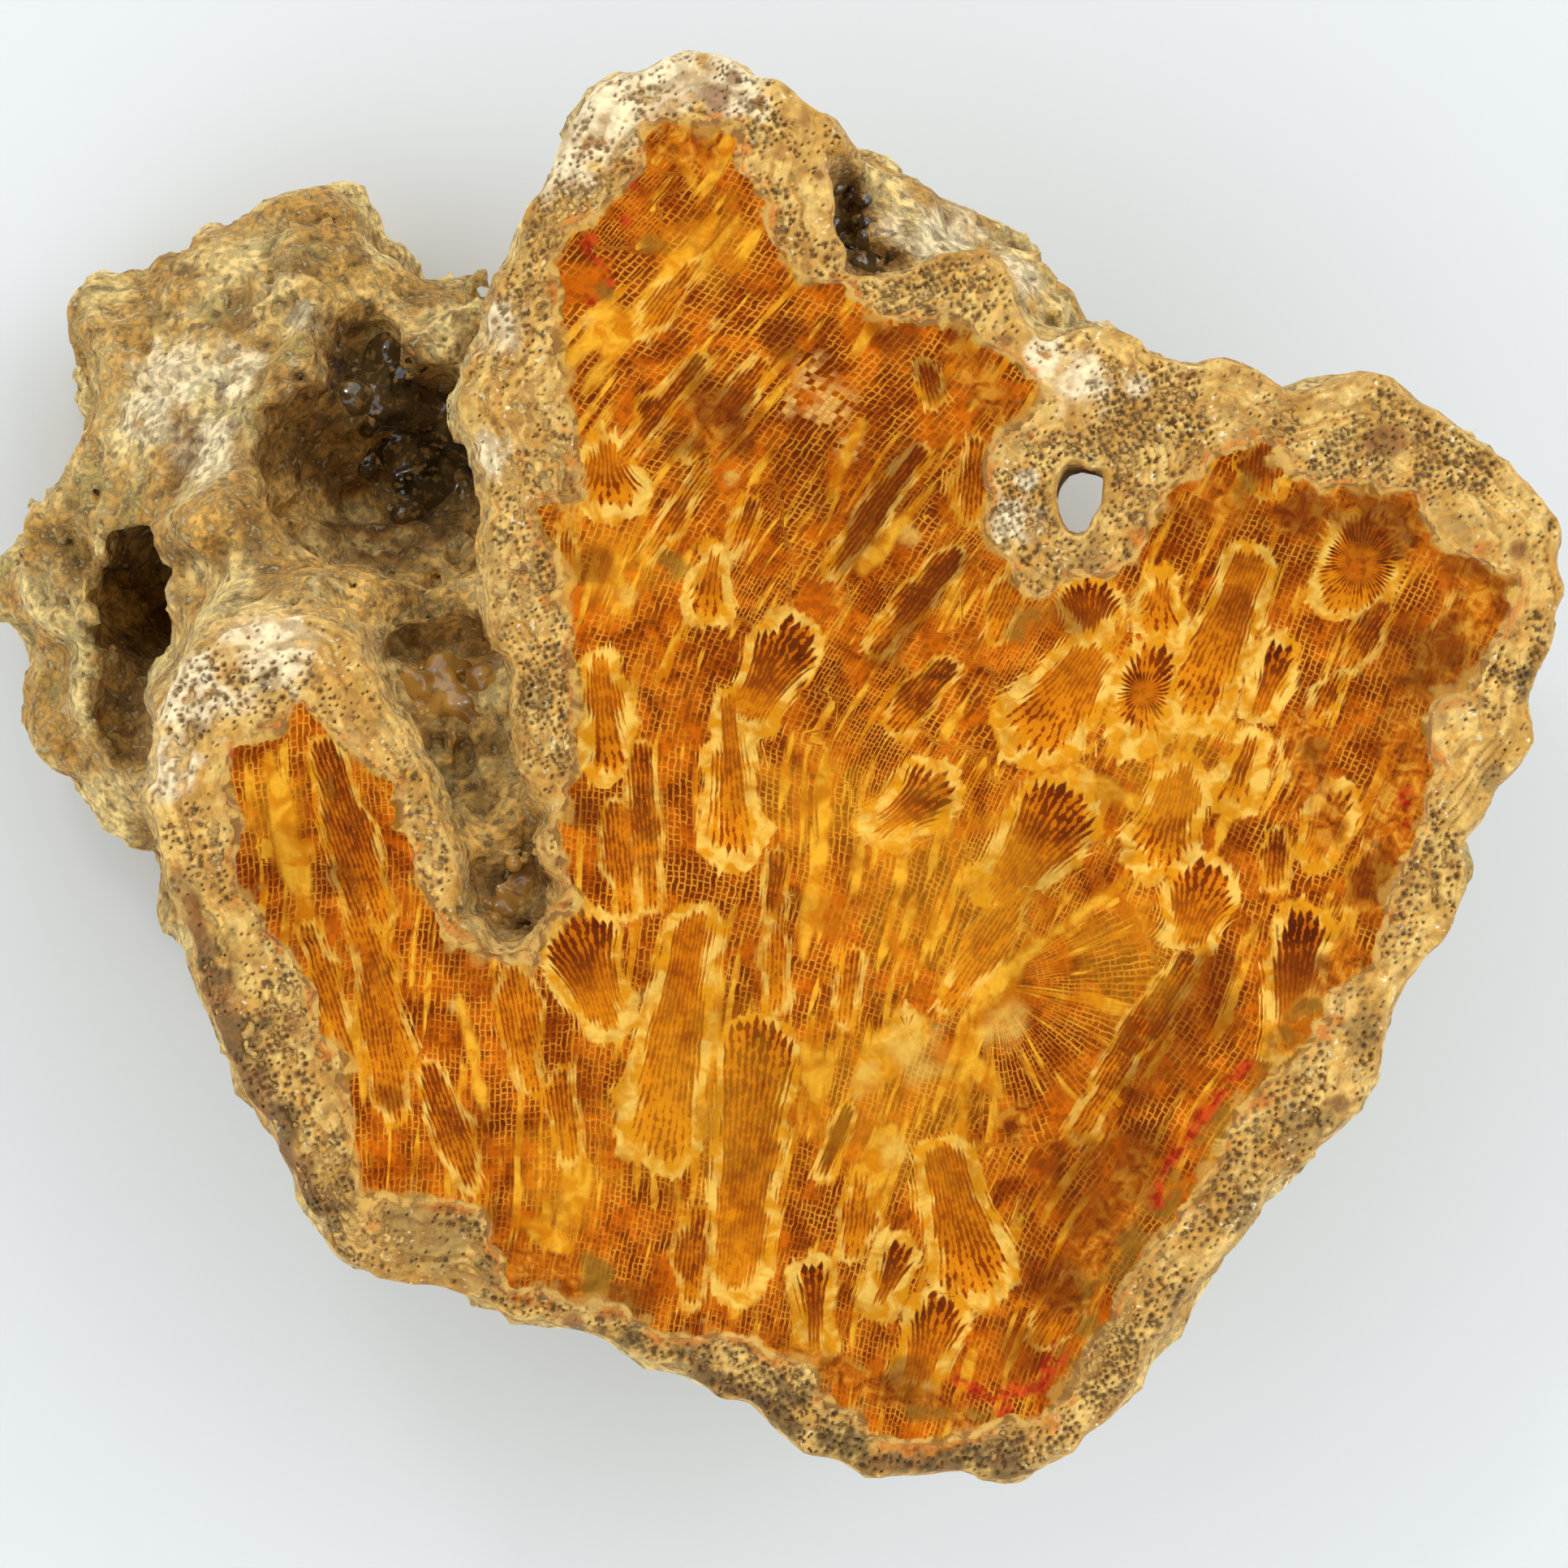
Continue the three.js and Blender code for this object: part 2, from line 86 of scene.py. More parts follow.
# Outline of the polished face and its rind, on the sheet, from the foot of the cleft clockwise.
FACE_OUTLINE = [
    (630, 1172), (650, 1160), (665, 1145), (680, 1120), (695, 1105), (695, 1090), (675, 1070), (662, 1050),
    (665, 1030), (675, 1020), (672, 1000), (660, 985), (650, 965), (642, 945), (640, 910), (632, 875),
    (631, 850), (632, 825), (625, 803), (610, 790), (602, 770), (601, 750), (600, 725), (597, 700),
    (593, 675), (595, 650), (602, 625), (600, 600), (595, 580), (585, 560), (585, 545), (572, 530),
    (561, 515), (560, 500), (562, 485), (569, 465), (572, 450), (580, 435), (595, 420), (602, 400),
    (601, 375), (612, 340), (630, 310), (635, 290), (642, 265), (652, 245), (672, 225), (680, 195),
    (690, 170), (702, 145), (725, 115), (745, 97), (770, 85), (800, 77), (825, 67), (850, 62), (885, 63),
    (905, 72), (930, 85), (955, 92), (980, 110), (1005, 127), (1025, 142), (1040, 165), (1046, 182),
    (1030, 188), (1021, 205), (1022, 225), (1027, 250), (1027, 270), (1032, 290), (1042, 305), (1042, 330),
    (1055, 340), (1080, 340), (1105, 337), (1140, 324), (1170, 312), (1195, 305), (1225, 310), (1245, 332),
    (1250, 385), (1265, 405), (1287, 422), (1302, 420), (1322, 405), (1347, 402), (1372, 405), (1392, 415),
    (1407, 422), (1412, 435), (1432, 442), (1462, 447), (1477, 452), (1492, 446), (1507, 443), (1537, 450),
    (1557, 460), (1560, 472), (1577, 477), (1582, 485), (1602, 487), (1622, 482), (1642, 477), (1657, 467),
    (1682, 464), (1707, 469), (1722, 482), (1747, 497), (1772, 512), (1792, 525), (1812, 545), (1842, 555),
    (1862, 570), (1877, 590), (1897, 610), (1912, 630), (1921, 650), (1922, 690), (1925, 720), (1922, 750),
    (1917, 780), (1912, 800), (1899, 825), (1884, 860), (1887, 885), (1886, 910), (1877, 930), (1862, 950),
    (1844, 970), (1832, 990), (1812, 1025), (1804, 1055), (1806, 1090), (1797, 1130), (1782, 1155),
    (1762, 1170), (1751, 1190), (1732, 1207), (1719, 1235), (1712, 1260), (1704, 1290), (1702, 1325),
    (1690, 1335), (1682, 1365), (1662, 1385), (1647, 1400), (1622, 1425), (1607, 1440), (1592, 1455),
    (1572, 1470), (1557, 1490), (1532, 1525), (1512, 1550), (1492, 1570), (1472, 1595), (1452, 1625),
    (1432, 1655), (1417, 1680), (1402, 1710), (1382, 1735), (1362, 1755), (1342, 1765), (1327, 1790),
    (1302, 1800), (1272, 1815), (1247, 1828), (1212, 1823), (1175, 1812), (1140, 1817), (1100, 1820),
    (1065, 1815), (1035, 1800), (1000, 1792), (980, 1780), (950, 1755), (925, 1727), (890, 1720),
    (860, 1705), (830, 1685), (800, 1680), (750, 1650), (700, 1635), (650, 1627), (600, 1605), (550, 1587),
    (490, 1580), (450, 1570), (415, 1550), (395, 1520), (375, 1485), (355, 1450), (340, 1410), (320, 1375),
    (300, 1345), (285, 1315), (272, 1285), (262, 1255), (250, 1225), (242, 1200), (240, 1175), (235, 1150),
    (225, 1135), (212, 1105), (207, 1080), (202, 1050), (192, 1015), (180, 985), (190, 960), (192, 935),
    (197, 915), (193, 890), (197, 872), (205, 855), (217, 830), (225, 812), (250, 790), (300, 770),
    (355, 757), (400, 762), (428, 782), (450, 815), (470, 858), (495, 900), (512, 927), (527, 950),
    (532, 978), (542, 1010), (560, 1050), (567, 1100), (562, 1125), (575, 1145), (590, 1162), (605, 1172),
]

# Outline of the rear mass brought forward to the face's plane, on the sheet.
REAR_OUTLINE = [
    (750, 342), (602, 372), (598, 346), (589, 327), (573, 327), (557, 338), (530, 342), (515, 330),
    (490, 307), (460, 290), (440, 270), (415, 257), (385, 250), (345, 247), (330, 255), (310, 270),
    (290, 290), (265, 295), (255, 312), (245, 327), (215, 332), (200, 345), (175, 356), (150, 359),
    (112, 360), (102, 375), (100, 395), (92, 420), (92, 440), (97, 470), (102, 500), (102, 520), (100, 545),
    (95, 560), (82, 600), (65, 615), (50, 640), (25, 665), (15, 670), (8, 680), (5, 700), (8, 725),
    (17, 750), (30, 775), (37, 800), (37, 825), (30, 850), (45, 900), (60, 935), (82, 965), (110, 1000),
    (150, 1040), (185, 1080), (246, 1182), (330, 1326), (426, 1470), (570, 1542), (786, 1614), (1002, 1710),
    (1206, 1746), (1338, 1674), (1482, 1494), (1626, 1314), (1710, 1134), (1770, 942), (1818, 774),
    (1758, 618), (1590, 546), (1422, 498), (1338, 414), (1312, 365), (1297, 345), (1280, 325), (1260, 305),
    (1240, 290), (1210, 275), (1185, 260), (1160, 245), (1130, 237), (1105, 227), (1080, 212), (1052, 200),
    (966, 198), (822, 234),
]

# Mouth of the wormhole through the thin right shoulder, on the sheet.
WORMHOLE_MOUTH = [
    (1322, 567), (1309, 577), (1302, 590), (1300, 610), (1307, 640), (1317, 655), (1332, 660), (1344, 647),
    (1349, 635), (1359, 620), (1361, 605), (1362, 585), (1357, 577), (1344, 577), (1332, 570),
]

# Edge of the polished, coloured area inside the rind, on the sheet.
POLISHED_OUTLINE = [
    (830, 150), (855, 150), (900, 160), (920, 200), (945, 240), (960, 290), (985, 330), (1000, 345),
    (1060, 365), (1100, 400), (1175, 395), (1200, 420), (1250, 440), (1280, 470), (1262, 520), (1225, 545),
    (1222, 600), (1225, 660), (1240, 690), (1260, 720), (1290, 735), (1320, 705), (1360, 700), (1400, 690),
    (1420, 650), (1440, 610), (1480, 580), (1500, 560), (1540, 545), (1580, 560), (1590, 590), (1620, 600),
    (1700, 600), (1750, 610), (1760, 650), (1790, 680), (1850, 700), (1880, 700), (1850, 760), (1830, 820),
    (1790, 860), (1760, 900), (1780, 950), (1760, 1000), (1740, 1060), (1720, 1100), (1700, 1150),
    (1690, 1180), (1650, 1230), (1615, 1285), (1580, 1315), (1552, 1345), (1515, 1400), (1470, 1465),
    (1430, 1520), (1400, 1570), (1368, 1625), (1340, 1655), (1305, 1720), (1270, 1750), (1200, 1760),
    (1100, 1770), (1050, 1740), (1010, 1720), (1000, 1690), (950, 1670), (900, 1650), (850, 1645),
    (790, 1630), (740, 1610), (680, 1600), (630, 1580), (600, 1540), (590, 1500), (560, 1480), (500, 1470),
    (440, 1500), (440, 1420), (430, 1340), (410, 1290), (385, 1240), (365, 1190), (340, 1150), (310, 1110),
    (290, 1060), (285, 1000), (275, 960), (290, 915), (350, 905), (358, 870), (365, 850), (380, 860),
    (400, 895), (430, 915), (450, 930), (480, 960), (490, 1000), (505, 1040), (515, 1090), (530, 1120),
    (545, 1150), (570, 1165), (600, 1180), (650, 1175), (680, 1130), (700, 1110), (690, 1050), (690, 1000),
    (700, 950), (710, 900), (710, 850), (700, 800), (690, 750), (685, 700), (660, 650), (670, 620),
    (720, 610), (700, 560), (700, 470), (690, 430), (690, 300), (710, 280), (750, 260), (770, 220),
    (790, 190), (800, 160),
]

# Front and back depths of the rear mass at x, y, in millimetres; between them the depths are blended.
REAR_DEPTHS = [
    (-56, 55, 34, 88), (-70, 48, 36, 84), (-76, 36, 37, 82), (-85, 24, 37, 78), (-82, 4, 40, 76),
    (-72, -6, 38, 76), (-68, 36, 29, 88), (-60, 27, 18, 88), (-54, 38, 25, 90), (-58.5, 16, 4, 88),
    (-70, 16, 36, 86), (-70, 4, 34, 84), (-50, 20, 7, 90), (-44, 20, 14, 90), (-38, 20, 18, 90),
    (-76, 14, 40, 84), (-64, 21, 24, 88), (-64.5, 8, 10, 86), (-50, 26, 18, 90), (-38, 27, 30, 90),
    (-40, 46, 32, 88), (-36, 55, 37, 78), (-36, 12, 18, 90), (-34, 4, 15, 90), (-30, -4, 10, 90),
    (-29, -13, 6, 90), (-40, -20, 14, 86), (0, -20, 14, 88), (-20, 20, 16, 90), (20, 0, 14, 82),
    (10, -45, 14, 66), (30, -50, 14, 52), (50, -10, 14, 50), (60, 15, 14, 44), (35, 30, 10, 42),
    (20, 45, 9, 60), (13, 56, 8, 62), (25, 52, 10, 60), (-5, 55, 14, 58), (-45, -35, 14, 62),
]

# Hollows: centre x, y, w and half-sizes x, y, w, in millimetres.
HOLLOWS = [
    ((-44.5, 34, 27), (13.5, 12, 22)), ((-39.5, 26.5, 26), (8.5, 6.5, 16)), ((-40, 37, 38), (8.5, 9.5, 17)),
    ((-46.2, 47.5, 33), (5.6, 9, 15)), ((-71, 21.5, 45), (8, 9.5, 20)), ((-74, 9, 40), (5, 8, 9)),
    ((-37, 15.4, 18), (7.5, 2.8, 5.5)), ((-29, -11.5, 5), (4.6, 5, 7)), ((6.6, 61, 9), (2.6, 5.6, 11)),
    ((9.6, 55, 6), (4.4, 2.4, 8)),
]
UNDERCUT = ((37, 33, 46), (15, 14, 27))  # the same, under the right shoulder
# Worn places on the rind's outer edge: x, y, reach and added radius of the edge, in millimetres.
WORN_EDGES = [
    (-30, 40, 16, 2.6), (-24, 64, 12, 3.0), (-2, 74, 12, 2.0), (46, -50, 22, 3.2), (-52, -40, 16, 2.2),
]
# Waves in the stone's sides: waves per millimetre along x, y and w in radians, and phase.
WAVES = [
    (0.21, 0.09, 0.13, 0.4), (-0.11, 0.24, 0.1, 1.9), (0.07, -0.13, 0.26, 3.1), (0.33, 0.21, -0.19, 5.2),
    (-0.29, 0.17, 0.35, 2.3), (0.18, -0.41, 0.22, 4.4),
]


# Arrays and noise ------------------------------------------------------------------------------------------


def on_face(points: list[tuple[float, float]]) -> Array:
    """Places on the sheet as x, y in millimetres over the face.

    Args:
        points: pairs in the sheet's units.

    Returns:
        An (n, 2) array: (across - middle) / units per mm, and (middle - down) / units per mm.
    """
    sheet = np.asarray(points, float)
    return np.stack([sheet[:, 0] - SHEET_MIDDLE, SHEET_MIDDLE - sheet[:, 1]], axis=1) / SHEET_PER_MM


def to_row(x: Array, y: Array, w: Array) -> Array:
    """Face-frame millimetres as metres in the row's frame, an (n, 3) array; w turns over into height."""
    return np.stack([x - BOX_MIDDLE[0], y - BOX_MIDDLE[1], THICKNESS - w], axis=-1) * MM


def smooth_step(value: Array, low: float, high: float) -> Array:
    """0 below low, 1 above high, and 3t^2 - 2t^3 between."""
    share = np.clip((value - low) / (high - low), 0.0, 1.0)
    return share * share * (3.0 - 2.0 * share)


def smooth_union(a: Array, b: Array, breadth: float) -> Array:
    """The lesser of two distances, less a quarter of breadth where they are equal, to fill the crease."""
    overlap = np.maximum(breadth - np.abs(a - b), 0.0) / breadth
    return np.minimum(a, b) - overlap * overlap * breadth / 4.0


def smooth_cut(a: Array, b: Array, breadth: float) -> Array:
    """The greater of two distances with its edge rounded: the union's formula with the signs turned."""
    return -smooth_union(-a, -b, breadth)


def ellipsoid_distance(x: Array, y: Array, w: Array, shape: tuple) -> Array:
    """Signed distance to an ellipsoid: s (s - 1) / |gradient of s|, s being 1 on its surface."""
    (cx, cy, cw), (rx, ry, rw) = shape
    dx, dy, dw = x - cx, y - cy, w - cw
    scaled = np.sqrt((dx / rx) ** 2 + (dy / ry) ** 2 + (dw / rw) ** 2)
    steepness = np.sqrt((dx / rx**2) ** 2 + (dy / ry**2) ** 2 + (dw / rw**2) ** 2)
    return scaled * (scaled - 1.0) / np.maximum(steepness, 1e-6)


def closed_curve(corners: Array, per_side: int = 3) -> Array:
    """A Catmull-Rom curve through the corners, closed, with per_side points along each side."""
    before, after, beyond = (np.roll(corners, shift, axis=0) for shift in (1, -1, -2))
    steps = np.linspace(0.0, 1.0, per_side, endpoint=False)[None, :, None]
    a, b, c, d = (side[:, None, :] for side in (before, corners, after, beyond))
    cubic = 2 * a - 5 * b + 4 * c - d
    quartic = -a + 3 * b - 3 * c + d
    return (0.5 * (2 * b + (c - a) * steps + cubic * steps**2 + quartic * steps**3)).reshape(-1, 2)


def inset_of(outline: Array, x: Array, y: Array) -> Array:
    """How far each point lies inside a closed outline; negative outside.

    The distance is the least over the outline's sides, and its sign comes from counting the sides that a
    level line from the point crosses.
    """
    nearest = np.full(x.shape, np.inf)
    inside = np.zeros(x.shape, bool)
    for (ax, ay), (bx, by) in zip(outline, np.roll(outline, -1, axis=0)):
        ex, ey = bx - ax, by - ay
        share = np.clip(((x - ax) * ex + (y - ay) * ey) / (ex * ex + ey * ey), 0.0, 1.0)
        nearest = np.minimum(nearest, (x - ax - ex * share) ** 2 + (y - ay - ey * share) ** 2)
        if ay != by:
            inside ^= ((ay > y) != (by > y)) & (x < ax + ex * (y - ay) / ey)
    return np.where(inside, 1.0, -1.0) * np.sqrt(nearest)


def beside(x: Array, y: Array, ax: float, ay: float, bx: float, by: float) -> tuple[Array, Array]:
    """Each place against a straight piece from a to b, whose ends are given on the sheet.

    Returns:
        The share of the way from a to b, and the distance from the piece in millimetres.
    """
    (px, py), (qx, qy) = on_face([(ax, ay), (bx, by)])
    ex, ey = qx - px, qy - py
    share = np.clip(((x - px) * ex + (y - py) * ey) / max(ex * ex + ey * ey, 1e-9), 0.0, 1.0)
    return share, np.hypot(x - px - ex * share, y - py - ey * share)


@dataclass
class FaceMap:
    """Values held on a regular grid over the face and read between its points.

    Attributes:
        step: spacing of the grid in millimetres.
        values: the values, x first.
        low: x and y of the first point.
    """

    step: float
    values: Array
    low: tuple[float, float] = MAP_LOW

    def __call__(self, x: Array, y: Array) -> Array:
        """The value at x, y by straight interpolation along both axes."""
        u = np.clip((x - self.low[0]) / self.step, 0, self.values.shape[0] - 1.001)
        v = np.clip((y - self.low[1]) / self.step, 0, self.values.shape[1] - 1.001)
        i, j = u.astype(int), v.astype(int)
        s, t = u - i, v - j
        near = self.values[i, j] * (1 - s) + self.values[i + 1, j] * s
        far = self.values[i, j + 1] * (1 - s) + self.values[i + 1, j + 1] * s
        return near * (1 - t) + far * t


def face_grid(step: float, low: tuple[float, float], high: tuple[float, float]) -> tuple[Array, Array]:
    """x and y over a regular grid of the given step, both as two-dimensional arrays with x first."""
    x = np.arange(low[0], high[0] + step, step)
    y = np.arange(low[1], high[1] + step, step)
    return np.meshgrid(x, y, indexing="ij")


@dataclass
class Grain:
    """Value noise: random numbers on a lattice, blended between its points, from -1 to 1.

    Attributes:
        seed: the seed of the lattice.
        size: points along each side of the lattice, after which it repeats.
    """

    seed: int
    size: int = 48
    lattice: Array = field(init=False)

    def __post_init__(self) -> None:
        """Draws the lattice."""
        self.lattice = np.random.default_rng(self.seed).uniform(-1.0, 1.0, (self.size,) * 3)

    def __call__(self, x: Array, y: Array, w: Array | float, scale: float) -> Array:
        """The noise at x, y, w with lumps about scale wide: the eight lattice values round each point,
        weighted by 3t^2 - 2t^3 of the way between them along each axis."""
        place = [np.asarray(axis, float) / scale + 0.37 for axis in (x, y, w)]
        floor = [np.floor(axis).astype(int) for axis in place]
        part = [axis - low for axis, low in zip(place, floor)]
        ease = [t * t * (3.0 - 2.0 * t) for t in part]
        i, j, k = (low % self.size for low in floor)
        i1, j1, k1 = ((axis + 1) % self.size for axis in (i, j, k))
        grid = self.lattice
        front = self._blend(grid[i, j, k], grid[i1, j, k], grid[i, j1, k], grid[i1, j1, k], ease)
        back = self._blend(grid[i, j, k1], grid[i1, j, k1], grid[i, j1, k1], grid[i1, j1, k1], ease)
        return front + (back - front) * ease[2]

    @staticmethod
    def _blend(a: Array, b: Array, c: Array, d: Array, ease: list[Array]) -> Array:
        """Four corners of a lattice square blended along its two axes."""
        low = a + (b - a) * ease[0]
        high = c + (d - c) * ease[0]
        return low + (high - low) * ease[1]


def pit_depths(x: Array, y: Array, spacing: float, jitter: float, seed: int) -> tuple[Array, Array]:
    """Distance to the nearest of a field of jittered points, and that point's own random number.

    Each square of a grid holds one point, moved from its middle by up to jitter of the spacing; the nine
    squares round a place are searched.
    """
    rng = np.random.default_rng(seed)
    size = 256
    shift = rng.uniform(-0.5, 0.5, (size, size, 2)) * jitter
    marks = rng.uniform(0.0, 1.0, (size, size))
    u, v = x / spacing, y / spacing
    i, j = np.floor(u).astype(int), np.floor(v).astype(int)
    nearest = np.full(x.shape, np.inf)
    mark = np.zeros(x.shape)
    for di in (-1, 0, 1):
        for dj in (-1, 0, 1):
            a, b = (i + di) % size, (j + dj) % size
            du = u - (i + di + 0.5 + shift[a, b, 0])
            dv = v - (j + dj + 0.5 + shift[a, b, 1])
            gap = np.hypot(du, dv) * spacing
            mark = np.where(gap < nearest, marks[a, b], mark)
            nearest = np.minimum(nearest, gap)
    return nearest, mark


def add_mesh(name: str, points: Array, faces: Array, values: dict[str, Array]) -> bpy.types.Object:
    """Makes a smooth mesh object from arrays.

    Args:
        name: the object's name.
        points: (n, 3) places in metres in the row's frame.
        faces: (m, 3 or 4) point numbers.
        values: one number a point for each named attribute.

    Returns:
        The object, linked to the scene.
    """
    mesh = bpy.data.meshes.new(name)
    corners = faces.shape[1]
    mesh.vertices.add(len(points))
    mesh.vertices.foreach_set("co", points.astype(np.float32).ravel())
    mesh.loops.add(faces.size)
    mesh.loops.foreach_set("vertex_index", faces.astype(np.int32).ravel())
    mesh.polygons.add(len(faces))
    mesh.polygons.foreach_set("loop_start", np.arange(0, faces.size, corners, dtype=np.int32))
    mesh.polygons.foreach_set("use_smooth", np.ones(len(faces), bool))
    mesh.update(calc_edges=True)
    mesh.validate()
    for key, numbers in values.items():
        layer = mesh.attributes.new(key, "FLOAT", "POINT")
        layer.data.foreach_set("value", numbers.astype(np.float32).ravel())
    piece = bpy.data.objects.new(name, mesh)
    bpy.context.scene.collection.objects.link(piece)
    return piece


CELL_CORNERS = np.array([(i, j, k) for k in (0, 1) for j in (0, 1) for i in (0, 1)])
CELL_EDGES = [
    (0, 1), (2, 3), (4, 5), (6, 7), (0, 2), (1, 3), (4, 6), (5, 7), (0, 4), (1, 5), (2, 6), (3, 7),
]


def zero_surface(values: Array, axes: tuple[Array, Array, Array]) -> tuple[Array, Array]:
    """The closed surface where a field sampled on a box lattice is zero, negative being inside.

    Every lattice cell that the surface passes through gets one point, the mean of the places where the field
    changes sign along the cell's edges; every lattice edge with a change of sign gets a four-sided face
    between the four cells round it. A two-parameter grid can't hold hollows and undercuts, so they are made
    this way.

    Args:
        values: the field, x first.
        axes: the lattice's places along x, y and w.

    Returns:
        The points as (n, 3) face-frame millimetres, and the faces as (m, 4) point numbers.
    """
    inside = values < 0
    shape = np.array(values.shape) - 1
    count = sum(
        inside[a : a + shape[0], b : b + shape[1], c : c + shape[2]].astype(np.int8)
        for a, b, c in CELL_CORNERS
    )
    active = (count > 0) & (count < 8)
    cells = np.argwhere(active)
    number = np.full(active.shape, -1)
    number[active] = np.arange(len(cells))
    at_corner = [values[tuple((cells + corner).T)] for corner in CELL_CORNERS]
    total = np.zeros(cells.shape)
    hits = np.zeros(len(cells))
    for start, end in CELL_EDGES:
        a, b = at_corner[start], at_corner[end]
        crossed = (a < 0) != (b < 0)
        share = np.where(crossed, a / np.where(crossed, a - b, 1.0), 0.0)[:, None]
        place = CELL_CORNERS[start] + share * (CELL_CORNERS[end] - CELL_CORNERS[start])
        total += np.where(crossed[:, None], place, 0.0)
        hits += crossed
    index = cells + total / hits[:, None]
    points = np.stack([np.interp(index[:, n], np.arange(len(axes[n])), axes[n]) for n in range(3)], axis=1)
    faces = [edge_faces(inside, number, axis) for axis in range(3)]
    return points, np.concatenate(faces)


def greatest_part(points: Array, faces: Array) -> tuple[Array, Array]:
    """The greatest connected part of a surface, without the crumbs that its roughness leaves beside it.

    Every point takes the lowest number in its faces until none changes, so each part ends with one number.
    """
    label, before = np.arange(len(points)), np.empty(0)
    while not np.array_equal(label, before):
        before = label.copy()
        np.minimum.at(label, faces.ravel(), np.repeat(before[faces].min(axis=1), faces.shape[1]))
        label = label[label]
    part = label[faces[:, 0]]
    owners, counts = np.unique(part, return_counts=True)
    kept, faces = np.unique(faces[part == owners[counts.argmax()]], return_inverse=True)
    return points[kept], faces.reshape(-1, 4)


def edge_faces(inside: Array, number: Array, axis: int) -> Array:
    """The faces across the lattice edges along one axis, wound so that they point outwards."""
    turned = np.moveaxis(inside, (axis, (axis + 1) % 3, (axis + 2) % 3), (0, 1, 2))
    cells = np.moveaxis(number, (axis, (axis + 1) % 3, (axis + 2) % 3), (0, 1, 2))
    start = turned[:-1, 1:-1, 1:-1]
    i, j, k = np.nonzero(start != turned[1:, 1:-1, 1:-1])
    quads = np.stack([cells[i, j + 1, k + 1], cells[i, j + 1, k], cells[i, j, k], cells[i, j, k + 1]], axis=1)
    backward = ~start[i, j, k]
    quads[backward] = quads[backward, ::-1]
    return quads


# Patches of colour -----------------------------------------------------------------------------------------


@dataclass(frozen=True)
class Patch:
    """A soft-edged patch on the sheet.

    Attributes:
        spots: round places, each with a radius.
        runs: long places from end to end, each with a radius.
    """

    spots: tuple[tuple[float, float, float], ...] = ()
    runs: tuple[tuple[float, float, float, float, float], ...] = ()

    def cover(self, x: Array, y: Array, grain: Grain) -> Array:
        """How strongly the patch covers each place: the greatest of e^-(d/r)^2, roughened by noise."""
        cover = np.zeros(x.shape)
        for *ends, radius in [(*spot[:2], *spot) for spot in self.spots] + list(self.runs):
            _, away = beside(x, y, *ends)
            cover = np.maximum(cover, np.exp(-((away * SHEET_PER_MM / radius) ** 2)))
        return smooth_step(cover + 0.35 * grain(x, y, 3.0, 1.6) * np.minimum(1.0, 5.0 * cover), 0.25, 0.8)


def covers(patches: dict[str, Patch], x: Array, y: Array, grain: Grain) -> dict[str, Array]:
    """Every patch's cover at each place, by its name."""
    return {name: patch.cover(x, y, grain) for name, patch in patches.items()}


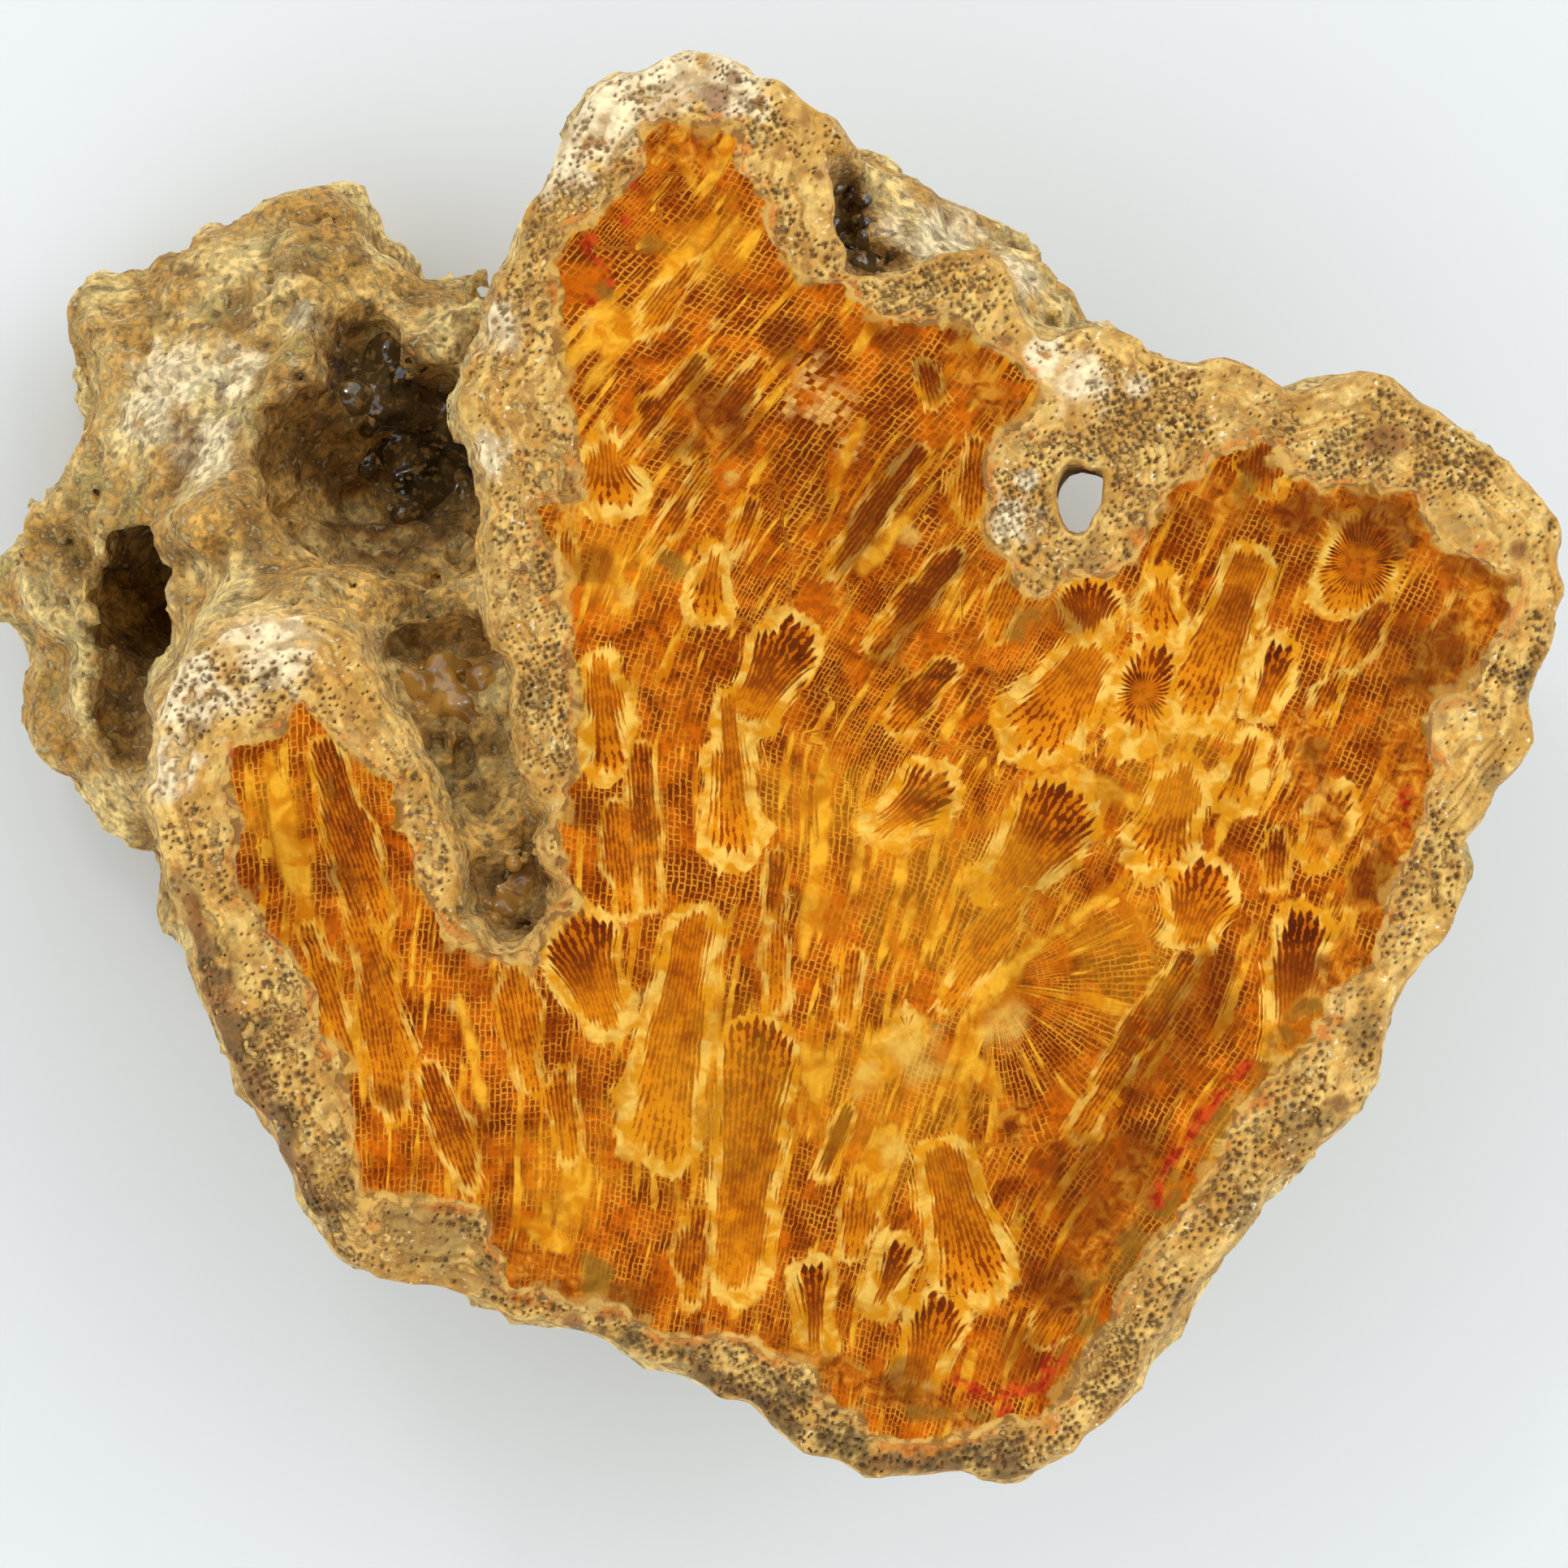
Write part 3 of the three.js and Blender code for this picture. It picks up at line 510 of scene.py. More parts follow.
# Patches on the polished coral, by the attribute that they are written to.
POLISH_PATCHES = {
    "red": Patch(
        ((727, 372, 9), (1735, 985, 14), (1730, 1015, 10), (770, 275, 10), (780, 228, 6), (1008, 205, 8),
         (1240, 1738, 14)),
        ((730, 300, 744, 326, 13), (744, 326, 754, 346, 9), (1536, 1312, 1490, 1362, 9),
         (1490, 1362, 1450, 1416, 11), (1450, 1416, 1424, 1480, 12), (1312, 1652, 1280, 1712, 13),
         (1280, 1712, 1190, 1722, 9), (1180, 1702, 1212, 1716, 8)),
    ),
    "olive": Patch(
        ((1815, 930, 36), (1790, 870, 26), (735, 1570, 34), (880, 120, 26), (1780, 980, 30), (800, 300, 14),
         (745, 360, 16), (1530, 600, 20), (1270, 770, 30), (770, 1620, 20), (940, 200, 20), (830, 700, 26)),
        ((1610, 1240, 1500, 1380, 18), (1500, 1380, 1420, 1500, 22), (1400, 1520, 1350, 1610, 20),
         (1350, 1610, 1310, 1700, 20), (1230, 1750, 1120, 1740, 12)),
    ),
    "brown": Patch(
        ((895, 505, 40), (880, 140, 30), (860, 470, 26), (1400, 1420, 50), (1500, 1250, 36),
         (1140, 460, 24), (1100, 415, 34), (1320, 760, 30), (1830, 690, 46), (1760, 800, 60),
         (1700, 640, 50), (1610, 640, 40), (1860, 740, 26), (1340, 1460, 70), (1450, 1300, 50),
         (840, 545, 26), (900, 550, 30), (1155, 480, 24), (1690, 1080, 40), (1540, 570, 30), (700, 880, 30),
         (1620, 930, 26), (780, 1600, 30), (1300, 1580, 50), (1000, 330, 30), (730, 700, 30),
         (1600, 1200, 40), (1120, 1700, 40), (720, 1000, 24), (600, 1500, 30), (420, 1080, 30),
         (480, 1350, 24), (1250, 1660, 40), (960, 420, 30)),
        ((1120, 560, 1040, 690, 22), (1180, 690, 1090, 810, 20), (1500, 1180, 1400, 1340, 30)),
    ),
    "pale": Patch(
        ((1240, 1260, 30), (880, 400, 12), (900, 590, 14), (725, 397, 14), (1340, 958, 10), (775, 735, 14),
         (1130, 1290, 44), (1070, 1330, 24), (1230, 1270, 24), (1100, 1420, 20), (560, 1240, 12),
         (1120, 660, 14)),
    ),
    "bright": Patch(
        ((1150, 1100, 150), (1450, 950, 90), (1100, 1350, 130), (860, 1350, 120), (1000, 1000, 90),
         (1380, 1180, 90), (340, 1000, 60), (870, 300, 60), (760, 700, 60), (700, 1450, 70)),
    ),
    "dotted": Patch(
        ((1005, 460, 26), (1022, 505, 32), (1045, 555, 20), (975, 500, 14)),
    ),
    "muddy": Patch(
        ((1500, 610, 40), (1590, 640, 30), (1250, 1380, 24), (880, 520, 40), (690, 640, 20),
         (1270, 560, 26)),
        ((1700, 620, 1840, 700, 44), (1840, 700, 1770, 850, 50), (1740, 900, 1700, 1100, 44),
         (1620, 620, 1700, 620, 30), (1660, 1180, 1590, 1280, 30), (1600, 900, 1640, 1020, 26),
         (1400, 1440, 1320, 1600, 34), (830, 170, 870, 190, 26), (600, 1540, 760, 1600, 24),
         (1180, 430, 1240, 520, 22), (940, 1660, 1180, 1740, 22)),
    ),
}
# Patches on the rind.
RIND_PATCHES = {
    "cream": Patch(
        ((740, 130, 80), (820, 80, 70), (690, 200, 50), (610, 400, 40), (230, 860, 60), (330, 800, 60),
         (210, 950, 40), (1290, 440, 34), (1330, 470, 40), (1250, 640, 30), (1264, 590, 16),
         (1400, 476, 16), (900, 100, 60), (600, 560, 30)),
    ),
    "worn": Patch(
        ((1150, 1800, 70), (1040, 1795, 50), (950, 1740, 50), (860, 1690, 50), (290, 1290, 50),
         (330, 1400, 50), (390, 1500, 50), (255, 1180, 40), (760, 1640, 40), (1240, 1815, 50),
         (1890, 840, 30), (1640, 1390, 30)),
    ),
    "brown": Patch(
        ((285, 1250, 16), (340, 1400, 16), (400, 1490, 16), (880, 120, 22), (905, 95, 12), (1710, 545, 26),
         (1690, 540, 16), (600, 830, 12), (1870, 680, 16), (1240, 420, 10), (300, 1300, 20),
         (650, 1010, 18), (690, 1060, 10), (1650, 1360, 14), (700, 590, 12), (640, 700, 14),
         (1010, 215, 10), (705, 1630, 18), (1235, 1798, 16)),
        ((236, 1110, 262, 1210, 16), (262, 1210, 306, 1330, 26), (306, 1330, 380, 1470, 24),
         (1080, 1800, 1180, 1806, 14), (860, 1686, 960, 1740, 12)),
    ),
    "olive": Patch(
        ((1680, 1270, 30), (1600, 1390, 34), (1540, 1500, 30), (1470, 1620, 34), (1400, 1730, 30),
         (540, 1520, 56), (500, 1500, 40), (600, 1570, 30), (1840, 960, 24), (230, 1090, 24),
         (260, 1200, 20), (1340, 690, 20), (660, 860, 24), (330, 840, 20), (240, 900, 22)),
    ),
}
# Patches on the rough body.
BODY_PATCHES = {
    "cream": Patch(
        ((120, 440, 56), (150, 420, 60), (200, 520, 60), (230, 420, 50), (1180, 260, 60), (1120, 280, 40),
         (1260, 320, 40), (330, 350, 24), (120, 480, 40)),
    ),
    "ochre": Patch(
        ((520, 700, 50), (470, 720, 50), (560, 660, 40), (540, 840, 46), (580, 980, 40), (300, 590, 40),
         (350, 690, 40), (430, 740, 40), (560, 900, 60), (600, 1020, 60), (380, 290, 50), (430, 280, 30),
         (230, 640, 40), (540, 760, 40), (40, 720, 30), (620, 400, 30), (440, 330, 40), (520, 690, 60)),
    ),
    "brown": Patch(
        ((88, 758, 46), (60, 820, 30), (110, 850, 30), (320, 440, 30), (470, 300, 24), (540, 380, 24)),
        ((250, 500, 300, 700, 16), (300, 700, 460, 790, 14)),
    ),
    "grey": Patch(
        ((100, 880, 50), (140, 940, 40), (330, 340, 20)),
    ),
}


# The stone's form ------------------------------------------------------------------------------------------


@dataclass
class StoneForm:
    """The stone's shape as a distance field, in face-frame millimetres.

    Attributes:
        slab_depth: depth of the part that keeps the polished face's outline.
        slab_swell: how far the slab's side stands out behind the edge.
        rear_flare: share by which the rear mass widens per millimetre of depth.
        rear_rounding: breadth over which the rear mass's side turns into its front and back.
        hollow_lip: breadth of the rounding at a hollow's mouth.
        wormhole_lean: how far the wormhole runs to the right per millimetre of depth.
        skin_cover: depth of the body's top below the skins that cover it.
        edge_round: radius of the rind's outer edge, and at the worn places round it.
    """

    slab_depth: float = 30.0
    slab_swell: float = 1.2
    rear_flare: float = 1.0 / 420.0
    rear_rounding: float = 20.0
    hollow_lip: float = 1.6
    wormhole_lean: float = 0.1
    skin_cover: float = 0.9
    edge_round: float = 0.8
    face: FaceMap = field(init=False)
    rear: FaceMap = field(init=False)
    hole: FaceMap = field(init=False)
    rounding: FaceMap = field(init=False)
    front: FaceMap = field(init=False)
    back: FaceMap = field(init=False)
    lumps: Grain = field(init=False)
    grit: Grain = field(init=False)

    def __post_init__(self) -> None:
        """Works out the maps that every slice reads."""
        self.lumps, self.grit = Grain(Seed.LUMPS), Grain(Seed.GRIT)
        step = 0.5
        x, y = face_grid(step, MAP_LOW, MAP_HIGH)
        self.hole = FaceMap(step, inset_of(closed_curve(on_face(WORMHOLE_MOUTH)), x, y))
        inset = inset_of(closed_curve(on_face(FACE_OUTLINE)), x, y)
        ragged = 0.4 * self.lumps(x, y, 0.0, 2.6) + 0.35 * self.grit(x, y, 3.0, 1.3)
        self.face = FaceMap(step, inset + ragged)
        step = 1.0
        x, y = face_grid(step, MAP_LOW, MAP_HIGH)
        self.rear = FaceMap(step, inset_of(closed_curve(on_face(REAR_OUTLINE), 2), x, y))
        self.rounding = FaceMap(step, self._rounding(x, y))
        depths = np.array(REAR_DEPTHS)
        weights = 1.0 / ((x[..., None] - depths[:, 0]) ** 2 + (y[..., None] - depths[:, 1]) ** 2 + 6.0) ** 2
        weights /= weights.sum(axis=-1, keepdims=True)
        self.front = FaceMap(step, weights @ depths[:, 2])
        self.back = FaceMap(step, weights @ depths[:, 3])

    def _rounding(self, x: Array, y: Array) -> Array:
        """Radius of the rind's outer edge: the least radius, and broader swellings at the worn places."""
        radius = np.full(x.shape, self.edge_round)
        for cx, cy, reach, more in WORN_EDGES:
            radius = radius + more * np.exp(-((x - cx) ** 2 + (y - cy) ** 2) / reach**2)
        return radius

    def edge_inset(self, x: Array, y: Array) -> Array:
        """How far a place on the face lies inside its outer edge and outside the wormhole."""
        return np.minimum(self.face(x, y), -self.hole(x, y))

    def skin_depth(self, x: Array, y: Array) -> Array:
        """Depth of the face's smooth skin: a quarter round of radius r at the edge, r - sqrt(r^2 - (r - d)^2)
        at d inside it, and up to 2 mm lower outside it."""
        inset = self.edge_inset(x, y)
        radius = self.rounding(x, y)
        within = np.clip(radius - inset, 0.0, radius)
        return radius - np.sqrt(radius**2 - within**2) + np.clip(-3.0 * inset, 0.0, 2.0)

    def slab_distance(self, x: Array, y: Array, w: float) -> Array:
        """The slab under the polished face: the outline, swelling by a half sine and drawn in by a cube."""
        share = min(max(w / self.slab_depth, 0.0), 1.0)
        side = -self.face(x, y) - self.slab_swell * math.sin(math.pi * share) + 4.0 * share**3
        return smooth_cut(side, np.full(x.shape, w - self.slab_depth), 12.0)

    def rear_distance(self, x: Array, y: Array, w: float) -> Array:
        """The rear mass: its outline flared with depth, between its front and its back depths."""
        flare = 1.0 + w * self.rear_flare
        side = -self.rear(x / flare, y / flare) * flare
        depth = smooth_cut((self.front(x, y) - w) * 0.8, (w - self.back(x, y)) * 0.8, self.rear_rounding / 2)
        return smooth_cut(side, depth, self.rear_rounding)

    def wave_height(self, x: Array, y: Array, w: float) -> Array:
        """Six long sine waves of 0.5 mm each, fading out towards the face."""
        height = sum(0.5 * np.sin(kx * x + ky * y + kw * w + phase) for kx, ky, kw, phase in WAVES)
        return height * smooth_step(np.array(w), 2.0, 16.0)

    def roughness(self, x: Array, y: Array, w: float) -> Array:
        """Lumps of 7 and 2.2 mm, creases of 3.4, grit of 1.3, and pits where a 2.4 mm noise is highest."""
        crease = 0.7 - 1.8 * np.abs(self.grit(x, y, w, 3.4))
        grit = 0.6 * self.lumps(x, y, w, 1.3) + 0.55 * self.grit(x, y + 30.0, w, 2.2)
        pits = smooth_step(self.grit(x + 40.0, y, w, 2.4), 0.3, 0.8)
        return 0.9 * self.lumps(x, y, w, 7.0) + 0.5 * np.maximum(crease, -0.6) + grit + 1.2 * pits

    def slice(self, x: Array, y: Array, w: float) -> Array:
        """Distance to the stone's surface over one depth, negative inside.

        The slab and the rear mass run together; waves and roughness are added, fading in behind the face's
        edge; then the hollows, which are rough too, the undercut and the wormhole are cut out.
        """
        body = smooth_union(self.slab_distance(x, y, w), self.rear_distance(x, y, w), join_breadth(w))
        body = body + self.wave_height(x, y, w)
        fade = float(smooth_step(np.array(w), 2.0, 6.5))
        near = np.abs(body) < 5.0
        rough = np.zeros(x.shape)
        rough[near] = self.roughness(x[near], y[near], w)
        body = body + rough * fade - 0.4 * float(smooth_step(np.array(w), 1.6, 3.0)) * (1.0 - fade)
        for hollow in HOLLOWS:
            away = ellipsoid_distance(x, y, w, hollow)
            close = np.abs(away) < 5.0
            away[close] -= 1.4 * self.roughness(x[close] + 20.0, y[close], w) - 0.3
            body = smooth_cut(body, -away, self.hollow_lip)
        body = smooth_cut(body, -ellipsoid_distance(x, y, w, UNDERCUT), 6.0)
        return np.maximum(body, self.hole(x - self.wormhole_lean * w, y) - 0.15 + 0.03 * w)

    def body_slice(self, x: Array, y: Array, w: float) -> Array:
        """The slice with its top kept under the skins and its back cut off flat."""
        covered = self.skin_depth(x, y) + self.skin_cover - w
        return np.maximum(np.maximum(self.slice(x, y, w), covered), w - THICKNESS)

    def floor_depth(self, x: Array, y: Array, start: float) -> Array:
        """Depth of the first surface met at each x, y going down from the start depth."""
        depth = np.full(x.shape, THICKNESS)
        for w in np.arange(start, THICKNESS, 0.25):
            met = (self.slice(x, y, w) < 0) & (depth == THICKNESS)
            depth[met] = w
        return depth


def join_breadth(w: float) -> float:
    """Breadth over which the slab and the rear mass blend: 4 mm near the face and 16 mm further back."""
    return 4.0 + 12.0 * float(smooth_step(np.array(w), 14.0, 30.0))


@dataclass
class RoughBody:
    """The stone's rough sides, back, cleft and hollows, and the flat cut that it rests on.

    Attributes:
        fine: lattice spacing over the rear-left lobe, the cleft and the hollows.
        coarse: lattice spacing elsewhere.
        limits: along x, y and w, where the lattice starts and ends and where its fine part does.
    """

    fine: float = 0.85
    coarse: float = 1.52
    limits: tuple[tuple[float, float, float, float], ...] = (
        (-95.0, 84.0, -95.0, -22.0), (-78.0, 80.0, -20.0, 70.0), (0.0, THICKNESS + 2.5, 0.0, 44.0),
    )

    def graded(self, low: float, high: float, fine_low: float, fine_high: float) -> Array:
        """Places from low to high, fine between two limits and coarse outside them."""
        parts = [
            np.arange(low, fine_low, self.coarse),
            np.arange(fine_low, fine_high, self.fine),
            np.arange(fine_high, high, self.coarse),
        ]
        return np.concatenate(parts)

    def build(self, form: StoneForm) -> bpy.types.Object:
        """The body: the zero surface of the stone's field, with attributes that the rough finish reads."""
        axes = tuple(self.graded(*limit) for limit in self.limits)
        x, y = np.meshgrid(axes[0], axes[1], indexing="ij")
        values = np.stack([form.body_slice(x, y, float(w)) for w in axes[2]], axis=-1)
        points, faces = greatest_part(*zero_surface(values, axes))
        px, py, pw = points.T
        # hollow: 1 on a hollow's walls, growing from its mouth inwards; the finish darkens the stone by it, a
        # brown stain with painted shade that deepens further in.
        hollow = np.zeros(len(points))
        for shape in HOLLOWS:
            away = ellipsoid_distance(px, py, pw, shape)
            mouth = shape[0][2] - shape[1][2] * 0.4
            hollow_stain_and_shade = np.exp(-np.maximum(away, 0.0) / 0.8) * smooth_step(pw - mouth, -2.0, 14.0)
            hollow = np.maximum(hollow, hollow_stain_and_shade)
        rows = covers(BODY_PATCHES, px, py, form.lumps)
        chalk = RIND_PATCHES["cream"].cover(px, py, form.lumps) * smooth_step(-pw, -9.0, -3.0)
        rows["cream"] = np.maximum(rows["cream"], chalk)
        # pit: where the rough surface lies deepest; the finish darkens it as painted shade.
        rows["pit"] = smooth_step(form.roughness(px, py, pw), 0.15, 1.1)
        rows |= {"hollow": hollow, "depth": pw}
        return add_mesh("rough_body", to_row(px, py, pw), faces, rows)


def region_skin(inside: Array, x: Array, y: Array) -> tuple[Array, Array, Array]:
    """The part of a grid over the face that lies inside a region, its rim moved onto the region's edge.

    Squares with two or more corners inside are kept. A corner outside moves inwards along the region's slope
    by its own distance, so that the rim follows the edge.

    Args:
        inside: how far each grid point lies inside the region; negative outside.
        x: the grid's x, in millimetres.
        y: the grid's y.

    Returns:
        x and y of the kept points, and the faces as (m, 4) point numbers.
    """
    step = x[1, 0] - x[0, 0]
    slope_x, slope_y = np.gradient(inside, step)
    steepness = np.maximum(slope_x**2 + slope_y**2, 0.3)
    move = np.where(inside < 0, -inside / steepness, 0.0)
    rows, columns = inside.shape[0] - 1, inside.shape[1] - 1
    covered = (inside > 0).astype(int)
    count = sum(covered[a : rows + a, b : columns + b] for a in (0, 1) for b in (0, 1))
    i, j = np.nonzero(count >= 2)
    number = np.arange(inside.size).reshape(inside.shape)
    quads = np.stack([number[i, j], number[i + 1, j], number[i + 1, j + 1], number[i, j + 1]], axis=1)
    kept, faces = np.unique(quads, return_inverse=True)
    moved_x = (x + np.clip(move * slope_x, -step, step)).ravel()[kept]
    moved_y = (y + np.clip(move * slope_y, -step, step)).ravel()[kept]
    return moved_x, moved_y, faces.reshape(-1, 4)


def rim_edges(faces: Array) -> Array:
    """The (n, 2) point numbers of the edges that only one face has, in that face's direction."""
    edges = np.concatenate([faces[:, [k, (k + 1) % 4]] for k in range(4)])
    order = np.sort(edges, axis=1)
    _, first, count = np.unique(order, axis=0, return_index=True, return_counts=True)
    return edges[first[count == 1]]


# The coral's pattern ---------------------------------------------------------------------------------------


@dataclass(frozen=True)
class Cut:
    """How a coral cup shows where the face cuts it.

    Attributes:
        waist: where its lines lie closest, from 0 at its base to 1 at its open end.
        closing: by what share they close up there.
        wall: strength of its pale wall.
        gap: distance between its lines in millimetres.
        girth: its girth at its base, half way and at its open end.
    """

    waist: float
    closing: float
    wall: float
    gap: float
    girth: tuple[float, float, float]


class CupForm(Enum):
    """How a coral cup was cut by the face."""

    FAN = Cut(0.95, 0.45, 1.0, 0.74, (1.1, 0.95, 0.7))  # along its length: lines that spread to its base
    CROWN = Cut(0.05, 0.45, 0.9, 0.74, (0.7, 0.95, 1.1))  # along its length: lines that spread to its mouth
    STREAK = Cut(0.5, 0.15, 0.45, 0.54, (0.45, 1.0, 0.5))  # near one side: nearly parallel lines
    ROSETTE = Cut(0.5, 0.0, 0.9, 0.74, (1.0, 1.0, 1.0))  # across: lines round its middle


# Cups on the sheet: open end, base, width, form, darkness from 0 to 1.
FAN, CROWN, STREAK, ROSETTE = CupForm.FAN, CupForm.CROWN, CupForm.STREAK, CupForm.ROSETTE
CUPS = [
    (1164, 1430, 1194, 1560, 74, FAN, 0.6), (937, 1300, 905, 1560, 78, CROWN, 0.6),
    (856, 1150, 815, 1390, 72, FAN, 0.55), (718, 1165, 742, 1235, 76, CROWN, 0.8),
    (630, 1190, 655, 1330, 48, STREAK, 0.4), (450, 1158, 488, 1380, 48, STREAK, 0.5),
    (530, 1320, 580, 1460, 52, STREAK, 0.7), (400, 930, 470, 1130, 60, STREAK, 0.9),
    (425, 1080, 500, 1290, 40, STREAK, 0.6), (380, 1150, 430, 1300, 36, STREAK, 0.6),
    (1541, 700, 1480, 850, 58, FAN, 0.55), (1340, 815, 1292, 888, 78, FAN, 0.4),
    (1416, 822, 1402, 885, 56, ROSETTE, 0.6), (1345, 750, 1343, 765, 58, CROWN, 0.9),
    (1430, 728, 1427, 755, 44, FAN, 0.6), (1559, 565, 1556, 590, 58, STREAK, 0.8),
    (1680, 676, 1668, 712, 84, ROSETTE, 0.7), (1572, 1030, 1568, 1085, 32, STREAK, 1.0),
    (1480, 1098, 1464, 1145, 72, CROWN, 0.6), (1600, 1155, 1590, 1270, 56, CROWN, 0.8),
    (1461, 1180, 1330, 1390, 46, STREAK, 0.85), (1300, 1005, 1240, 1095, 78, CROWN, 0.65),
    (1265, 1090, 1165, 1240, 52, STREAK, 0.5), (1148, 978, 1100, 1015, 58, CROWN, 0.8),
    (1160, 828, 1105, 890, 48, STREAK, 1.0), (1180, 680, 1080, 800, 46, STREAK, 0.9),
    (1130, 560, 1025, 700, 46, STREAK, 0.85), (965, 800, 925, 870, 62, CROWN, 0.75),
    (738, 820, 746, 925, 44, FAN, 0.6), (790, 930, 802, 1110, 44, STREAK, 0.75),
    (895, 870, 906, 1030, 46, FAN, 0.5), (957, 1060, 949, 1140, 32, STREAK, 0.8),
    (1117, 1265, 1117, 1269, 26, ROSETTE, 0.5), (1001, 1575, 1003, 1650, 36, CROWN, 0.9),
    (1106, 1550, 1085, 1600, 42, CROWN, 0.85), (1046, 1366, 1010, 1450, 12, STREAK, 2.4),
    (747, 560, 750, 595, 62, FAN, 0.4), (860, 445, 755, 580, 38, STREAK, 0.9),
    (940, 450, 850, 560, 30, STREAK, 0.8), (870, 575, 800, 680, 30, STREAK, 0.7),
    (1203, 550, 1195, 640, 46, STREAK, 0.8), (880, 690, 872, 735, 40, FAN, 0.5),
    (930, 620, 905, 680, 32, STREAK, 0.7), (700, 640, 696, 715, 26, STREAK, 0.6),
    (1572, 812, 1552, 868, 42, CROWN, 0.85), (1648, 830, 1625, 880, 36, STREAK, 0.9),
    (1540, 915, 1520, 970, 40, FAN, 0.7), (1455, 960, 1434, 1040, 60, FAN, 0.6),
    (1645, 990, 1625, 1045, 42, CROWN, 0.85), (1690, 1040, 1670, 1110, 40, STREAK, 0.9),
    (1700, 750, 1660, 820, 44, STREAK, 0.7), (1800, 740, 1760, 840, 50, STREAK, 0.8),
    (1600, 900, 1585, 945, 30, STREAK, 0.8), (1320, 1590, 1285, 1650, 50, STREAK, 0.5),
    (1155, 1625, 1140, 1690, 56, CROWN, 0.7), (860, 1500, 850, 1600, 44, STREAK, 0.6),
    (690, 1330, 700, 1420, 44, STREAK, 0.5), (1050, 1180, 1040, 1260, 36, STREAK, 0.5),
    (1060, 1460, 1050, 1540, 40, STREAK, 0.4), (1140, 450, 1150, 490, 36, STREAK, 0.9),
    (850, 330, 790, 410, 36, STREAK, 0.5), (960, 1100, 955, 1240, 36, STREAK, 0.5),
    (760, 1000, 770, 1120, 36, STREAK, 0.5), (1260, 700, 1225, 780, 38, STREAK, 0.5),
]
# Directions that the coral grew in: a place on the sheet, and degrees from rightwards, upwards positive.
GROWTH = [
    (330, 1000, 112), (430, 1250, 106), (520, 1450, 100), (640, 1300, 96), (700, 1000, 92), (740, 760, 84),
    (840, 1300, 88), (900, 1550, 86), (950, 1000, 82), (960, 760, 60), (800, 450, 52), (900, 250, 54),
    (1050, 500, 50), (1100, 700, 54), (1200, 900, 58), (1150, 1250, 76), (1150, 1550, 80), (1300, 1100, 58),
    (1400, 1350, 60), (1450, 950, 64), (1600, 1150, 72), (1650, 800, 60), (1800, 750, 54), (1300, 1600, 60),
    (1300, 1500, 36), (1290, 1440, 34), (1440, 1330, 36),
]
# A great fan in the mesh, on the sheet: its focus, its reach, and the angles in degrees that it lies between.
FAN_FOCUS, FAN_REACH, FAN_ANGLES = (1222, 1212), 205, (-95, 38)
FAN_LINES = 12.5  # millimetres of mesh to a radian of the fan
# Broad gold bands on the sheet: two ends and a width.
GOLD_BANDS = [
    (330, 930, 385, 1150, 36), (880, 270, 720, 480, 34), (1150, 600, 1062, 700, 26),
    (1060, 520, 1020, 620, 16), (830, 170, 860, 240, 22), (1206, 1224, 1236, 1200, 40),
    (1060, 1340, 1130, 1260, 60), (1100, 1390, 1062, 1490, 40), (1180, 1290, 1232, 1350, 34),
    (640, 1500, 700, 1540, 30), (1010, 1270, 1000, 1400, 22), (940, 1480, 900, 1640, 18),
    (1020, 1000, 990, 1180, 22), (890, 1180, 870, 1400, 16), (700, 450, 760, 380, 30),
    (1240, 560, 1235, 680, 14), (1260, 1180, 1190, 1300, 30), (1060, 1440, 1090, 1520, 30),
    (760, 700, 775, 760, 22), (660, 640, 690, 760, 18), (1300, 940, 1400, 990, 34),
    (560, 1200, 600, 1380, 16), (1000, 1250, 980, 1420, 18), (830, 1420, 850, 1560, 14),
    (1380, 820, 1340, 900, 12), (720, 1440, 690, 1520, 34), (1230, 1560, 1260, 1500, 16),
    (1520, 1180, 1560, 1120, 14), (920, 900, 960, 960, 16), (1480, 880, 1440, 940, 14),
    (1235, 1200, 1400, 1075, 14), (1200, 1240, 1180, 1420, 24),
]


